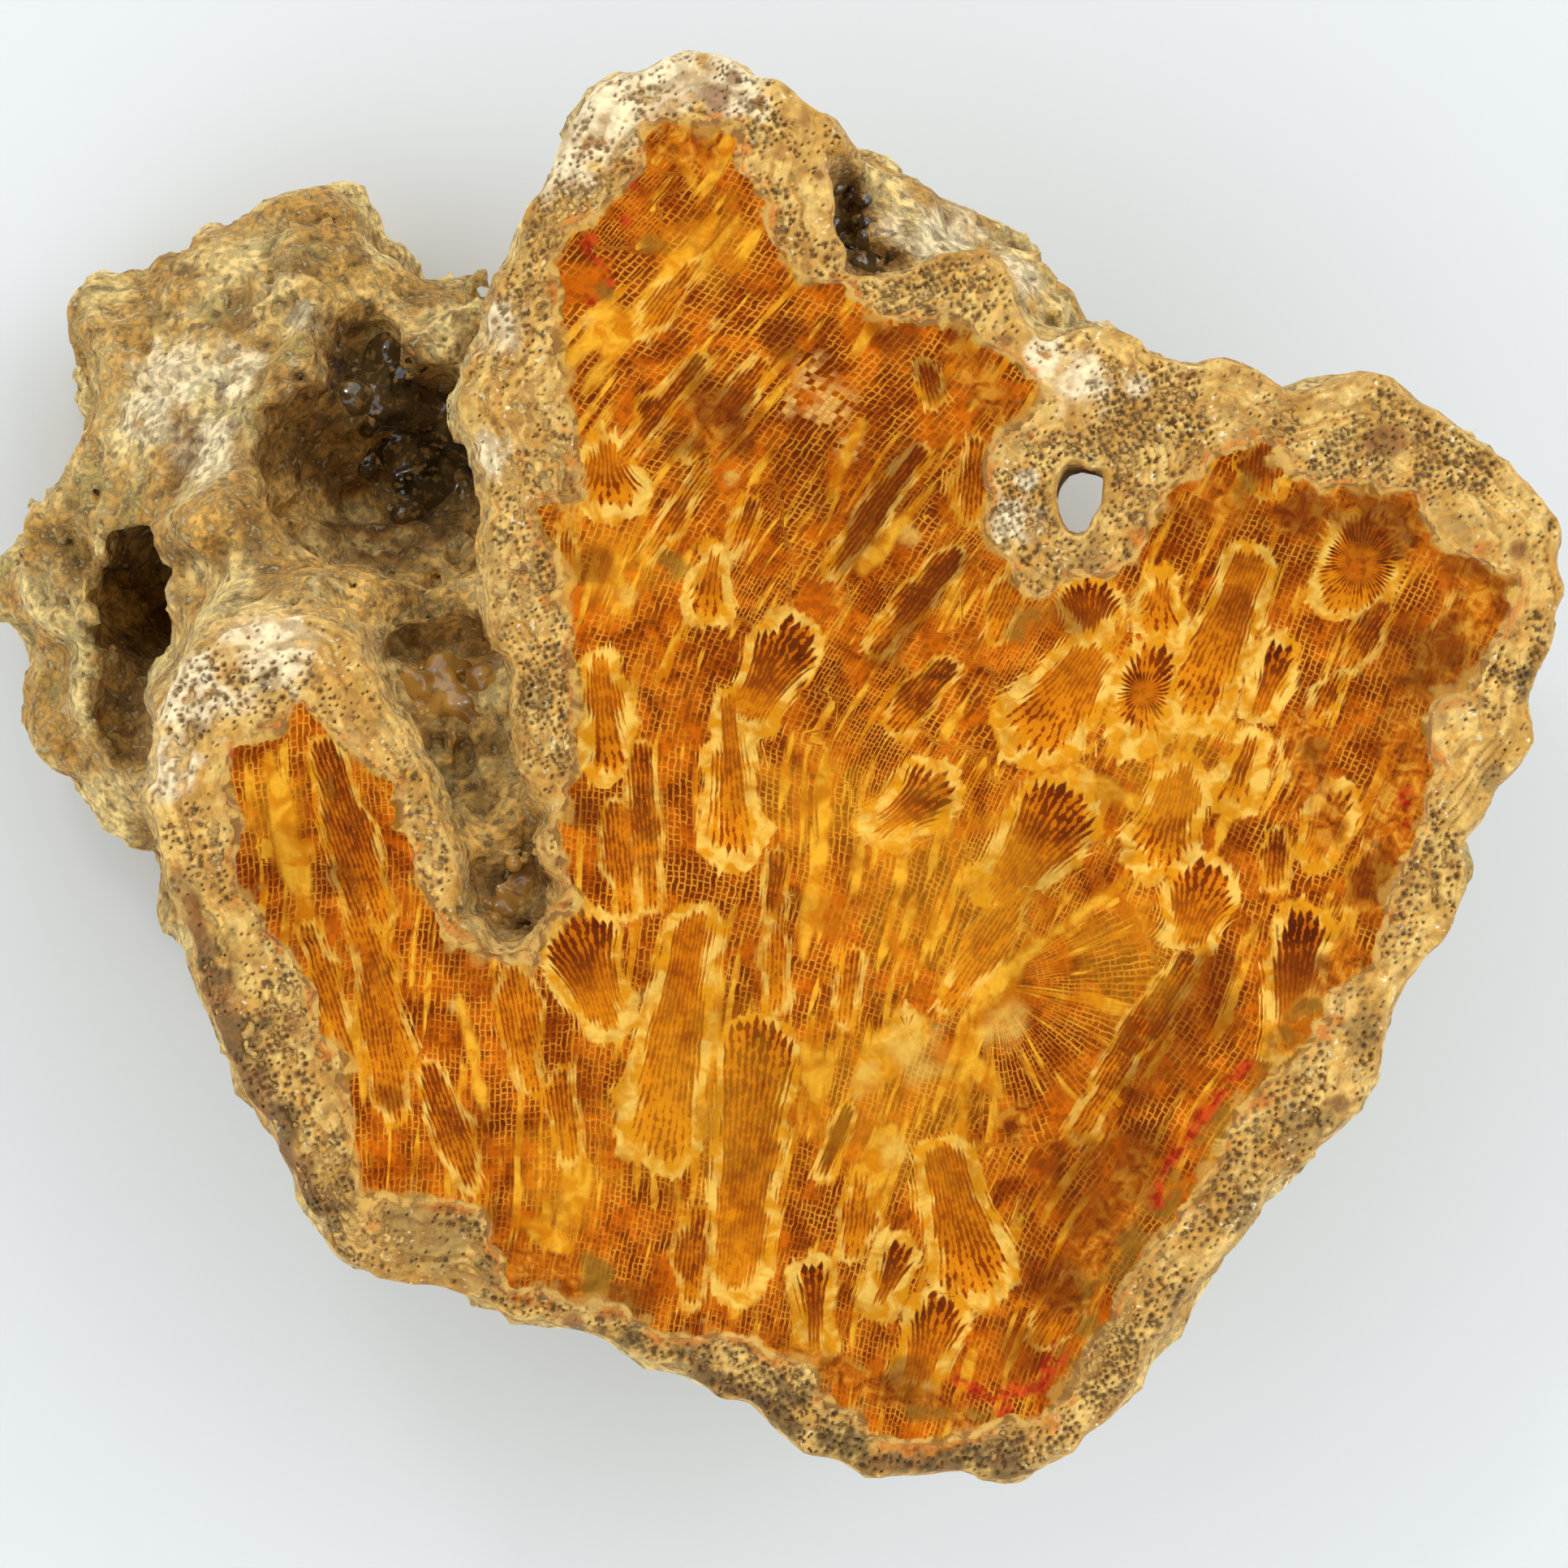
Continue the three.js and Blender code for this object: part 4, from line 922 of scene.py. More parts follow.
@dataclass
class CoralPattern:
    """The coral's growth pattern over the polished face, as numbers for each point of its skin.

    Attributes:
        mesh_cell: spacing of the skeleton's fine mesh, in millimetres.
    """

    mesh_cell: float = 0.62
    across: FaceMap = field(init=False)
    along: FaceMap = field(init=False)
    wobble: Grain = field(init=False)

    def __post_init__(self) -> None:
        """Solves for the two smooth fields whose level lines are the mesh."""
        self.wobble = Grain(Seed.WOBBLE)
        step, low, high = 1.0, (-70.0, -76.0), (84.0, 78.0)
        x, y = face_grid(step, low, high)
        angle = self.growth_angle(x, y)
        self.along = FaceMap(step, self.potential(np.cos(angle), np.sin(angle), step), low)
        self.across = FaceMap(step, self.potential(np.sin(angle), -np.cos(angle), step), low)

    def growth_angle(self, x: Array, y: Array) -> Array:
        """Growth direction in radians: the listed ones weighted by nearness, turned by a soft noise."""
        places = on_face([row[:2] for row in GROWTH])
        angles = np.radians([row[2] for row in GROWTH])
        weights = [1.0 / ((x - cx) ** 2 + (y - cy) ** 2 + 30.0) ** 1.5 for cx, cy in places]
        rise = sum(weight * math.sin(angle) for weight, angle in zip(weights, angles))
        run = sum(weight * math.cos(angle) for weight, angle in zip(weights, angles))
        return np.arctan2(rise, run) + 0.3 * self.wobble(x, y, 0.0, 11.0)

    def potential(self, slope_x: Array, slope_y: Array, step: float) -> Array:
        """The field whose slope comes nearest to the given one, by least squares.

        It solves Laplace(field) = divergence(slope) with free edges: the grid is mirrored both ways, and each
        wave of its Fourier transform is divided by minus the square of the wave's number.
        """
        gx = np.block([[slope_x, slope_x[:, ::-1]], [-slope_x[::-1], -slope_x[::-1, ::-1]]])
        gy = np.block([[slope_y, -slope_y[:, ::-1]], [slope_y[::-1], -slope_y[::-1, ::-1]]])
        kx = 2j * np.pi * np.fft.fftfreq(gx.shape[0], step)[:, None]
        ky = 2j * np.pi * np.fft.fftfreq(gx.shape[1], step)[None, :]
        size = kx**2 + ky**2
        size[0, 0] = 1.0
        waves = (kx * np.fft.fft2(gx) + ky * np.fft.fft2(gy)) / size
        waves[0, 0] = 0.0
        return np.fft.ifft2(waves).real[: slope_x.shape[0], : slope_x.shape[1]]

    def cups(self, x: Array, y: Array) -> dict[str, Array]:
        """What each place knows of the cup it lies in or nearest to.

        A cup is a round-ended bar. Its lines are spaced by the form's gap across it and close up round its
        waist: line number = aside / (gap * (1 - closing + closing * (way from the waist)^2)). In a rosette it
        is the angle round the middle.

        Returns:
            cup: how far inside the cup's edge, in mm; phase: number of lines passed; climb: 0 at the base to
            1 at the open end; dark: the cup's darkness; rim: strength of its pale wall; teeth: strength of
            its lines, weaker at the waist, in the middle of a rosette and where two cups meet.
        """
        cup = np.full(x.shape, FAR_OUTSIDE)
        phase, climb, dark, rim, teeth = (np.zeros(x.shape) for _ in range(5))
        ragged = 0.35 * self.wobble(x, y, 5.0, 1.3) + 0.7 * self.wobble(x, y, 9.0, 3.4)
        for top_x, top_y, base_x, base_y, width, form, shade in CUPS:
            cut = form.value
            (tx, ty), (bx, by) = on_face([(top_x, top_y), (base_x, base_y)])
            length = math.hypot(tx - bx, ty - by)
            ux, uy = (tx - bx) / length, (ty - by) / length
            rise = (x - bx) * ux + (y - by) * uy
            aside = (x - bx) * uy - (y - by) * ux
            share = np.clip(rise / length, 0.0, 1.0)
            half = width / SHEET_PER_MM / 2.0
            breadth = half * 1.05 * np.interp(share, (0.0, 0.5, 1.0), cut.girth)
            inside = breadth - np.hypot(rise - share * length, aside) + ragged
            if form is ROSETTE:
                turn = np.arctan2(aside, rise - length / 2.0) * round(1.6 * half / cut.gap)
                clear = smooth_step(np.hypot(rise - length / 2.0, aside) / half, 0.3, 0.7)
            else:
                longest = max(length * max(cut.waist, 1.0 - cut.waist), 1.2 * half)
                way = (rise - cut.waist * length) / longest
                turn = aside / (cut.gap * (1.0 - cut.closing + cut.closing * np.clip(way**2, 0.0, 1.8)))
                clear = 1.0 - 1.2 * cut.closing * np.clip(1.0 - way**2, 0.0, 1.0)
            nearer = inside > cup
            apart = smooth_step(np.abs(inside - cup), 0.1, 0.7)
            cup = np.where(nearer, inside, cup)
            phase = np.where(nearer, turn, phase)
            climb = np.where(nearer, np.clip((rise + half) / (length + 2 * half), 0, 1), climb)
            dark = np.where(nearer, shade, dark)
            rim = np.where(nearer, cut.wall, rim)
            teeth = np.where(nearer, clear, teeth) * apart
        return {"cup": cup, "phase": phase, "climb": climb, "dark": dark, "rim": rim, "teeth": teeth}

    def evened(self, lines: FaceMap, x: Array, y: Array) -> Array:
        """A mesh coordinate, doubled or trebled where its lines would lie far apart.

        Its slope is sqrt(dx^2 + dy^2) over 1 mm; it counts twice under 0.8 and three times under 0.45.
        """
        slope = np.hypot(lines(x + 0.5, y) - lines(x - 0.5, y), lines(x, y + 0.5) - lines(x, y - 0.5))
        slope = slope + 0.08 * self.wobble(x, y, 40.0, 3.0)
        return lines(x, y) * np.where(slope < 0.45, 3.0, np.where(slope < 0.8, 2.0, 1.0))

    def mesh(self, x: Array, y: Array) -> tuple[Array, Array]:
        """Mesh coordinates across and along the growth; in the great fan, round and away from its focus."""
        across, along = self.evened(self.across, x, y), self.evened(self.along, x, y)
        focus_x, focus_y = on_face([FAN_FOCUS])[0]
        low, high = np.radians(FAN_ANGLES)
        away, angle = np.hypot(x - focus_x, y - focus_y), np.arctan2(y - focus_y, x - focus_x)
        reach = FAN_REACH / SHEET_PER_MM + 1.5 * self.wobble(x, y, 30.0, 4.0)
        in_fan = (away < reach) & (angle > low) & (angle < high)
        return np.where(in_fan, angle * FAN_LINES, across), np.where(in_fan, away, along)

    def gold(self, x: Array, y: Array) -> Array:
        """How far inside the nearest broad gold band, in mm, roughened by noise."""
        inside = np.full(x.shape, FAR_OUTSIDE)
        for *ends, width in GOLD_BANDS:
            share, away = beside(x, y, *ends)
            taper = width / SHEET_PER_MM / 2.0 * (1.0 - 0.5 * (2.0 * share - 1.0) ** 2)
            inside = np.maximum(inside, taper - away)
        return inside + 0.6 * self.wobble(x, y, 2.0, 2.2)

    def values(self, x: Array, y: Array, seam: Array) -> dict[str, Array]:
        """Every attribute that the polished finish reads, at each place."""
        across, along = self.mesh(x, y)
        rows = {"mesh_u": across / self.mesh_cell, "mesh_v": along / self.mesh_cell}
        rows |= {"gold": self.gold(x, y), "seam": seam}
        return rows | self.cups(x, y) | covers(POLISH_PATCHES, x, y, self.wobble)


@dataclass
class FaceSkin:
    """One of the two skins of the sawn face: a height field over the part of the face that it covers.

    Attributes:
        step: spacing of the grid.
        low: x and y of its first point.
        high: x and y that it reaches.
        skirt: how far the skin is carried down round the stone's edge, inside the rough body.
        tuck: how far the skin goes down where it ends under the other skin.
    """

    step: float
    low: tuple[float, float]
    high: tuple[float, float]
    skirt: float = 2.6
    tuck: float = 0.7
    ragged: Grain = field(default_factory=lambda: Grain(Seed.RAGGED))

    def polished_inset(self, x: Array, y: Array, outline: FaceMap) -> Array:
        """How far a place lies inside the polished area, whose edge wanders by noises of 0.5 and 1.0 mm."""
        return outline(x, y) + 0.5 * self.ragged(x, y, 1.0, 1.2) + 1.0 * self.ragged(x, y, 2.0, 3.4)

    def finish(self, name: str, x: Array, y: Array, depth: Array, faces: Array, edge: Array,
               values: dict[str, Array]) -> bpy.types.Object:
        """Adds a skirt to a skin and makes its object.

        Args:
            name: the piece's name.
            x: the skin's points over the face.
            y: their y.
            depth: their depth.
            faces: the skin's (m, 4) point numbers.
            edge: how far each point lies inside the stone's edge.
            values: the attributes of each point.

        Returns:
            The object, with a wall straight down from the rim, by skirt at the stone's edge and by tuck
            elsewhere.
        """
        rim = rim_edges(faces)
        kept, ends = np.unique(rim, return_inverse=True)
        ends = ends.reshape(-1, 2) + len(x)
        below = depth[kept] + np.where(edge[kept] < 0.4, self.skirt, self.tuck)
        wall = np.stack([rim[:, 1], rim[:, 0], ends[:, 0], ends[:, 1]], axis=1)
        points = to_row(np.append(x, x[kept]), np.append(y, y[kept]), np.append(depth, below))
        rows = {key: np.append(number, number[kept]) for key, number in values.items()}
        return add_mesh(name, points, np.concatenate([faces, wall]), rows)


@dataclass
class PolishedFace(FaceSkin):
    """The polished, coloured part of the sawn face.

    Attributes:
        overlap: how far it runs on under the rind.
    """

    step: float = 0.4
    low: tuple[float, float] = (-60.0, -70.0)
    high: tuple[float, float] = (80.0, 72.0)
    overlap: float = 0.6

    def build(self, form: StoneForm, outline: FaceMap, pattern: CoralPattern) -> bpy.types.Object:
        """A flat grid, a few hundredths of a millimetre wavy, that turns down at its end under the rind."""
        x, y = face_grid(self.step, self.low, self.high)
        inset = self.polished_inset(x, y, outline)
        inside = np.minimum(inset + self.overlap, form.edge_inset(x, y))
        x, y, faces = region_skin(inside, x, y)
        inset = self.polished_inset(x, y, outline)
        depth = np.maximum(form.skin_depth(x, y), 0.5 * smooth_step(-inset, 0.35, self.overlap))
        depth = depth + 0.03 * self.ragged(x, y, 3.0, 2.5)
        values = pattern.values(x, y, inset)
        return self.finish("polished_face", x, y, depth, faces, form.edge_inset(x, y), values)


@dataclass
class RindFace(FaceSkin):
    """The dull, pitted rind round the polished part.

    Attributes:
        overlap: how far it runs on over the polished part, going down under it.
        pore_gap: spacing of the pores.
    """

    step: float = 0.24
    low: tuple[float, float] = (-68.0, -74.0)
    high: tuple[float, float] = (82.0, 77.0)
    overlap: float = 0.5
    pore_gap: float = 0.76

    def pores(self, x: Array, y: Array) -> Array:
        """0 on the flat to 1 in the pores: pits of up to 0.44 mm radius in swarms, strewn or in rows."""
        loose, mark = pit_depths(x, y, self.pore_gap, 0.95, Seed.LOOSE_PORES)
        turn = math.radians(28.0)
        u = x * math.cos(turn) + y * math.sin(turn) + 0.3 * self.ragged(x, y, 8.0, 4.0)
        v = y * math.cos(turn) - x * math.sin(turn) + 0.3 * self.ragged(x, y, 9.0, 4.0)
        rowed, row_mark = pit_depths(u, v, self.pore_gap * 0.9, 0.55, Seed.ROWED_PORES)
        in_rows = self.ragged(x, y, 5.0, 7.0) > 0.2
        gap, mark = np.where(in_rows, rowed, loose), np.where(in_rows, row_mark, mark)
        swarm = self.ragged(x, y, 6.0, 6.0) + 0.5 * self.ragged(x, y, 7.0, 2.0)
        radius = (0.36 * mark**1.4 + 0.08) * smooth_step(swarm, -0.5, 0.15)
        return 1.0 - smooth_step(gap, radius * 0.5, radius + 0.1)

    def ridges(self, x: Array, y: Array, edge: Array) -> Array:
        """Knobs in rows along the edge, -1 to 1: cos(2 pi d / 1.7) times a softer wave along the edge."""
        along = np.cos(2.0 * math.pi * (x * 0.55 + y * 0.83) / 1.9 + 2.0 * self.ragged(x, y, 12.0, 3.0))
        return np.cos(2.0 * math.pi * (edge / 1.7 + 0.5 * self.ragged(x, y, 13.0, 3.0))) * (0.6 + 0.4 * along)

    def relief(self, x: Array, y: Array, edge: Array) -> tuple[Array, Array]:
        """Depth of the rind below the smooth face, and its pores.

        Noises 4, 1.3 and 0.5 mm wide, pores 0.5 mm deep, creases 0.45 mm deep along the edge, and in the upper
        left part and by the left edge rows of knobs 0.2 mm proud between furrows 0.6 mm deep.
        """
        pore = self.pores(x, y) * smooth_step(edge, 0.1, 0.8)
        knobby = smooth_step(-np.hypot((x + 28.0) / 1.0, (y - 46.0) / 2.4), -12.0, -5.0)
        left_edge = smooth_step(6.0 - edge, 0.0, 4.0) * smooth_step(-x - 20.0, 0.0, 8.0)
        knobby = np.maximum(knobby, left_edge * 0.8)
        fold = np.abs(self.ragged(edge * 1.6 + 1.5 * self.ragged(x, y, 20.0, 4.0), 0.2 * (x - y), 18.0, 1.5))
        depth = 0.2 + 0.25 * self.ragged(x, y, 14.0, 4.0) + 0.27 * self.ragged(x, y, 15.0, 1.3)
        depth = depth + 0.1 * self.ragged(x, y, 16.0, 0.5) + 0.5 * pore + 0.45 * smooth_step(fold, 0.3, 0.0)
        return depth - 0.42 * knobby * (self.ridges(x, y, edge) - 0.5), pore

    def build(self, form: StoneForm, outline: FaceMap) -> bpy.types.Object:
        """A finely pitted grid over the face outside the polished part, running down under its edge."""
        x, y = face_grid(self.step, self.low, self.high)
        inset = self.polished_inset(x, y, outline)
        x, y, faces = region_skin(np.minimum(self.overlap - inset, form.edge_inset(x, y)), x, y)
        edge = form.edge_inset(x, y)
        inset = self.polished_inset(x, y, outline)
        depth, pore = self.relief(x, y, edge)
        # low: where the rind's relief lies deep; the finish darkens it as painted shade.
        low = smooth_step(depth, 0.3, 0.8)
        depth = depth * (1.0 - 0.8 * smooth_step(inset, -1.3, -0.2)) + form.skin_depth(x, y) - 0.04
        depth = depth + 0.5 * smooth_step(inset, -0.1, 0.35)
        values = {"pore": pore, "low": low, "edge": edge, "seam": inset}
        values |= covers(RIND_PATCHES, x, y, self.ragged)
        return self.finish("rind_face", x, y, depth, faces, edge, values)





# Finishes --------------------------------------------------------------------------------------------------


Socket = bpy.types.NodeSocket
Colour = tuple[int, int, int]


def linear(colour: Colour) -> tuple[float, float, float, float]:
    """A screen colour from 0 to 255 as scene-linear RGBA."""
    share = [channel / 255.0 for channel in colour]
    rgb = [s / 12.92 if s <= 0.04045 else ((s + 0.055) / 1.055) ** 2.4 for s in share]
    return (rgb[0], rgb[1], rgb[2], 1.0)


class Number:
    """A number given out by a node; arithmetic on it adds nodes to the same graph."""

    def __init__(self, graph: "Graph", socket: Socket) -> None:
        """Holds a node's socket and the graph that it is in."""
        self.graph = graph
        self.socket = socket

    def __add__(self, other: "Value") -> "Number":
        """The two together."""
        return self.graph.math("ADD", self, other)

    def __sub__(self, other: "Value") -> "Number":
        """This number less the other."""
        return self.graph.math("SUBTRACT", self, other)

    def __rsub__(self, other: float) -> "Number":
        """A constant less this number."""
        return self.graph.math("SUBTRACT", other, self)

    def __mul__(self, other: "Value") -> "Number":
        """The two multiplied."""
        return self.graph.math("MULTIPLY", self, other)

    def __abs__(self) -> "Number":
        """The number without its sign."""
        return self.graph.math("ABSOLUTE", self)

    def floor(self) -> "Number":
        """The whole number at or below it."""
        return self.graph.math("FLOOR", self)

    def off_middle(self) -> "Number":
        """How far it lies from half way between two whole numbers."""
        return abs(self.graph.math("FRACT", self) - 0.5)

    def or_more(self, other: "Value") -> "Number":
        """The greater of the two."""
        return self.graph.math("MAXIMUM", self, other)

    def step(self, low: float, high: float) -> "Number":
        """0 below low and 1 above high, smoothly; the other way round when low is above high."""
        node = self.graph.nodes.new("ShaderNodeMapRange")
        node.interpolation_type = "SMOOTHSTEP"
        self.graph.links.new(self.socket, node.inputs["Value"])
        ends = (low, high, 0.0, 1.0) if low < high else (high, low, 1.0, 0.0)
        for name, end in zip(("From Min", "From Max", "To Min", "To Max"), ends):
            node.inputs[name].default_value = end
        return Number(self.graph, node.outputs["Result"])


Value = float | Number


class Graph:
    """A material's node graph, built one expression at a time."""

    def __init__(self, name: str) -> None:
        """Makes an empty material with a shader and an output.

        Args:
            name: the material's name.
        """
        self.material = bpy.data.materials.new(name)
        self.material.use_nodes = True
        self.nodes = self.material.node_tree.nodes
        self.links = self.material.node_tree.links
        self.nodes.clear()
        self.shader = self.nodes.new("ShaderNodeBsdfPrincipled")
        output = self.nodes.new("ShaderNodeOutputMaterial")
        self.links.new(self.shader.outputs["BSDF"], output.inputs["Surface"])
        self.place = self.nodes.new("ShaderNodeTexCoord").outputs["Object"]

    def _feed(self, socket: Socket, value: Value | Socket | Colour) -> None:
        """Links a socket or sets a constant on it."""
        if isinstance(value, Number):
            self.links.new(value.socket, socket)
        elif isinstance(value, bpy.types.NodeSocket):
            self.links.new(value, socket)
        else:
            socket.default_value = linear(value) if isinstance(value, tuple) else value

    def attribute(self, name: str) -> Number:
        """A number carried by the mesh's points."""
        node = self.nodes.new("ShaderNodeAttribute")
        node.attribute_name = name
        return Number(self, node.outputs["Fac"])

    def math(self, operation: str, *values: Value) -> Number:
        """One mathematical operation on one or two numbers."""
        node = self.nodes.new("ShaderNodeMath")
        node.operation = operation
        for socket, value in zip(node.inputs, values):
            self._feed(socket, value)
        return Number(self, node.outputs[0])

    def mix(self, share: Value, below: Socket | Colour, above: Socket | Colour) -> Socket:
        """The first colour where the share is 0 and the second where it is 1."""
        node = self.nodes.new("ShaderNodeMix")
        node.data_type = "RGBA"
        for number, value in ((0, share), (6, below), (7, above)):
            self._feed(node.inputs[number], value)
        return node.outputs[2]

    def scaled(self, colour: Socket, amount: Value) -> Socket:
        """A colour made lighter or darker by a factor."""
        node = self.nodes.new("ShaderNodeVectorMath")
        node.operation = "SCALE"
        self._feed(node.inputs[0], colour)
        self._feed(node.inputs["Scale"], amount)
        return node.outputs[0]

    def place_of(self, x: Value, y: Value) -> Socket:
        """Two numbers as a place, with 0 for the third."""
        node = self.nodes.new("ShaderNodeCombineXYZ")
        for socket, value in zip(node.inputs, (x, y)):
            self._feed(socket, value)
        return node.outputs[0]

    def noise(self, size: float, detail: float, place: Socket | None = None, turn: float = 0.0) -> Number:
        """Noise from 0 to 1.

        Args:
            size: breadth of its lumps, in the place's units; metres for the object's own place.
            detail: octaves added.
            place: where it is read, the object's own place if none is given.
            turn: how far the octaves are bent.

        Returns:
            The noise.
        """
        node = self.nodes.new("ShaderNodeTexNoise")
        self.links.new(place or self.place, node.inputs["Vector"])
        node.inputs["Scale"].default_value = 1.0 / size
        node.inputs["Detail"].default_value = detail
        node.inputs["Distortion"].default_value = turn
        return Number(self, node.outputs["Fac"])

    def random(self, x: Value, y: Value) -> Number:
        """A random number from 0 to 1 for each pair, the same wherever the pair is the same."""
        node = self.nodes.new("ShaderNodeTexWhiteNoise")
        node.noise_dimensions = "2D"
        self.links.new(self.place_of(x, y), node.inputs["Vector"])
        return Number(self, node.outputs["Value"])

    def past_seam(self) -> Number:
        """Millimetres inside the polished area's edge, with a noise of 0 to 9 mm added."""
        return self.attribute("seam") + self.noise(0.0036, 7.0) * 9.0

    def bump(self, height: Number, strength: float, distance: float) -> None:
        """Tilts the shading by a height, in metres."""
        node = self.nodes.new("ShaderNodeBump")
        node.inputs["Strength"].default_value = strength
        node.inputs["Distance"].default_value = distance
        self.links.new(height.socket, node.inputs["Height"])
        self.links.new(node.outputs["Normal"], self.shader.inputs["Normal"])

    def set(self, **values: Value | Socket | Colour) -> None:
        """Feeds the shader's own sockets; an underscore stands for a space in a socket's name."""
        for name, value in values.items():
            self._feed(self.shader.inputs[name.replace("_", " ")], value)


@dataclass(frozen=True)
class Mottle:
    """Two colours that take turns as a noise says.

    Attributes:
        one: the colour where the noise is low.
        other: the colour where it is high.
        size: breadth of the noise's lumps, in metres.
        edge: the noise's values between which one colour turns into the other.
        detail: octaves of the noise.
        turn: how far they are bent.
    """

    one: Colour
    other: Colour
    size: float
    edge: tuple[float, float]
    detail: float = 4.0
    turn: float = 0.0

    def colour(self, g: Graph) -> Socket:
        """The mottled colour."""
        return g.mix(g.noise(self.size, self.detail, turn=self.turn).step(*self.edge), self.one, self.other)


@dataclass(frozen=True)
class Layer:
    """A colour over a finish, where an attribute of the mesh, a noise, or both together let it show.

    Attributes:
        colour: the layer's colour, or two that take turns.
        share: how strongly it covers at most.
        within: name of the attribute; everywhere if it is empty.
        size: breadth of the noise's lumps, in metres; no noise if it is 0.
        edge: the noise's values where the layer begins and where it is full.
        detail: octaves of the noise.
        turn: how far they are bent.
    """

    colour: Colour | Mottle
    share: float
    within: str = ""
    size: float = 0.0
    edge: tuple[float, float] = (0.4, 0.6)
    detail: float = 4.0
    turn: float = 0.0

    def over(self, g: Graph, base: Socket) -> Socket:
        """The base with the layer over it."""
        amount: Value = self.share
        if self.size:
            amount = g.noise(self.size, self.detail, turn=self.turn).step(*self.edge) * amount
        if self.within:
            amount = g.attribute(self.within) * amount
        return g.mix(amount, base, self.colour.colour(g) if isinstance(self.colour, Mottle) else self.colour)


def layered(g: Graph, base: Socket, layers: tuple[Layer, ...]) -> Socket:
    """A base colour with layers over it, the first undermost."""
    for layer in layers:
        base = layer.over(g, base)
    return base


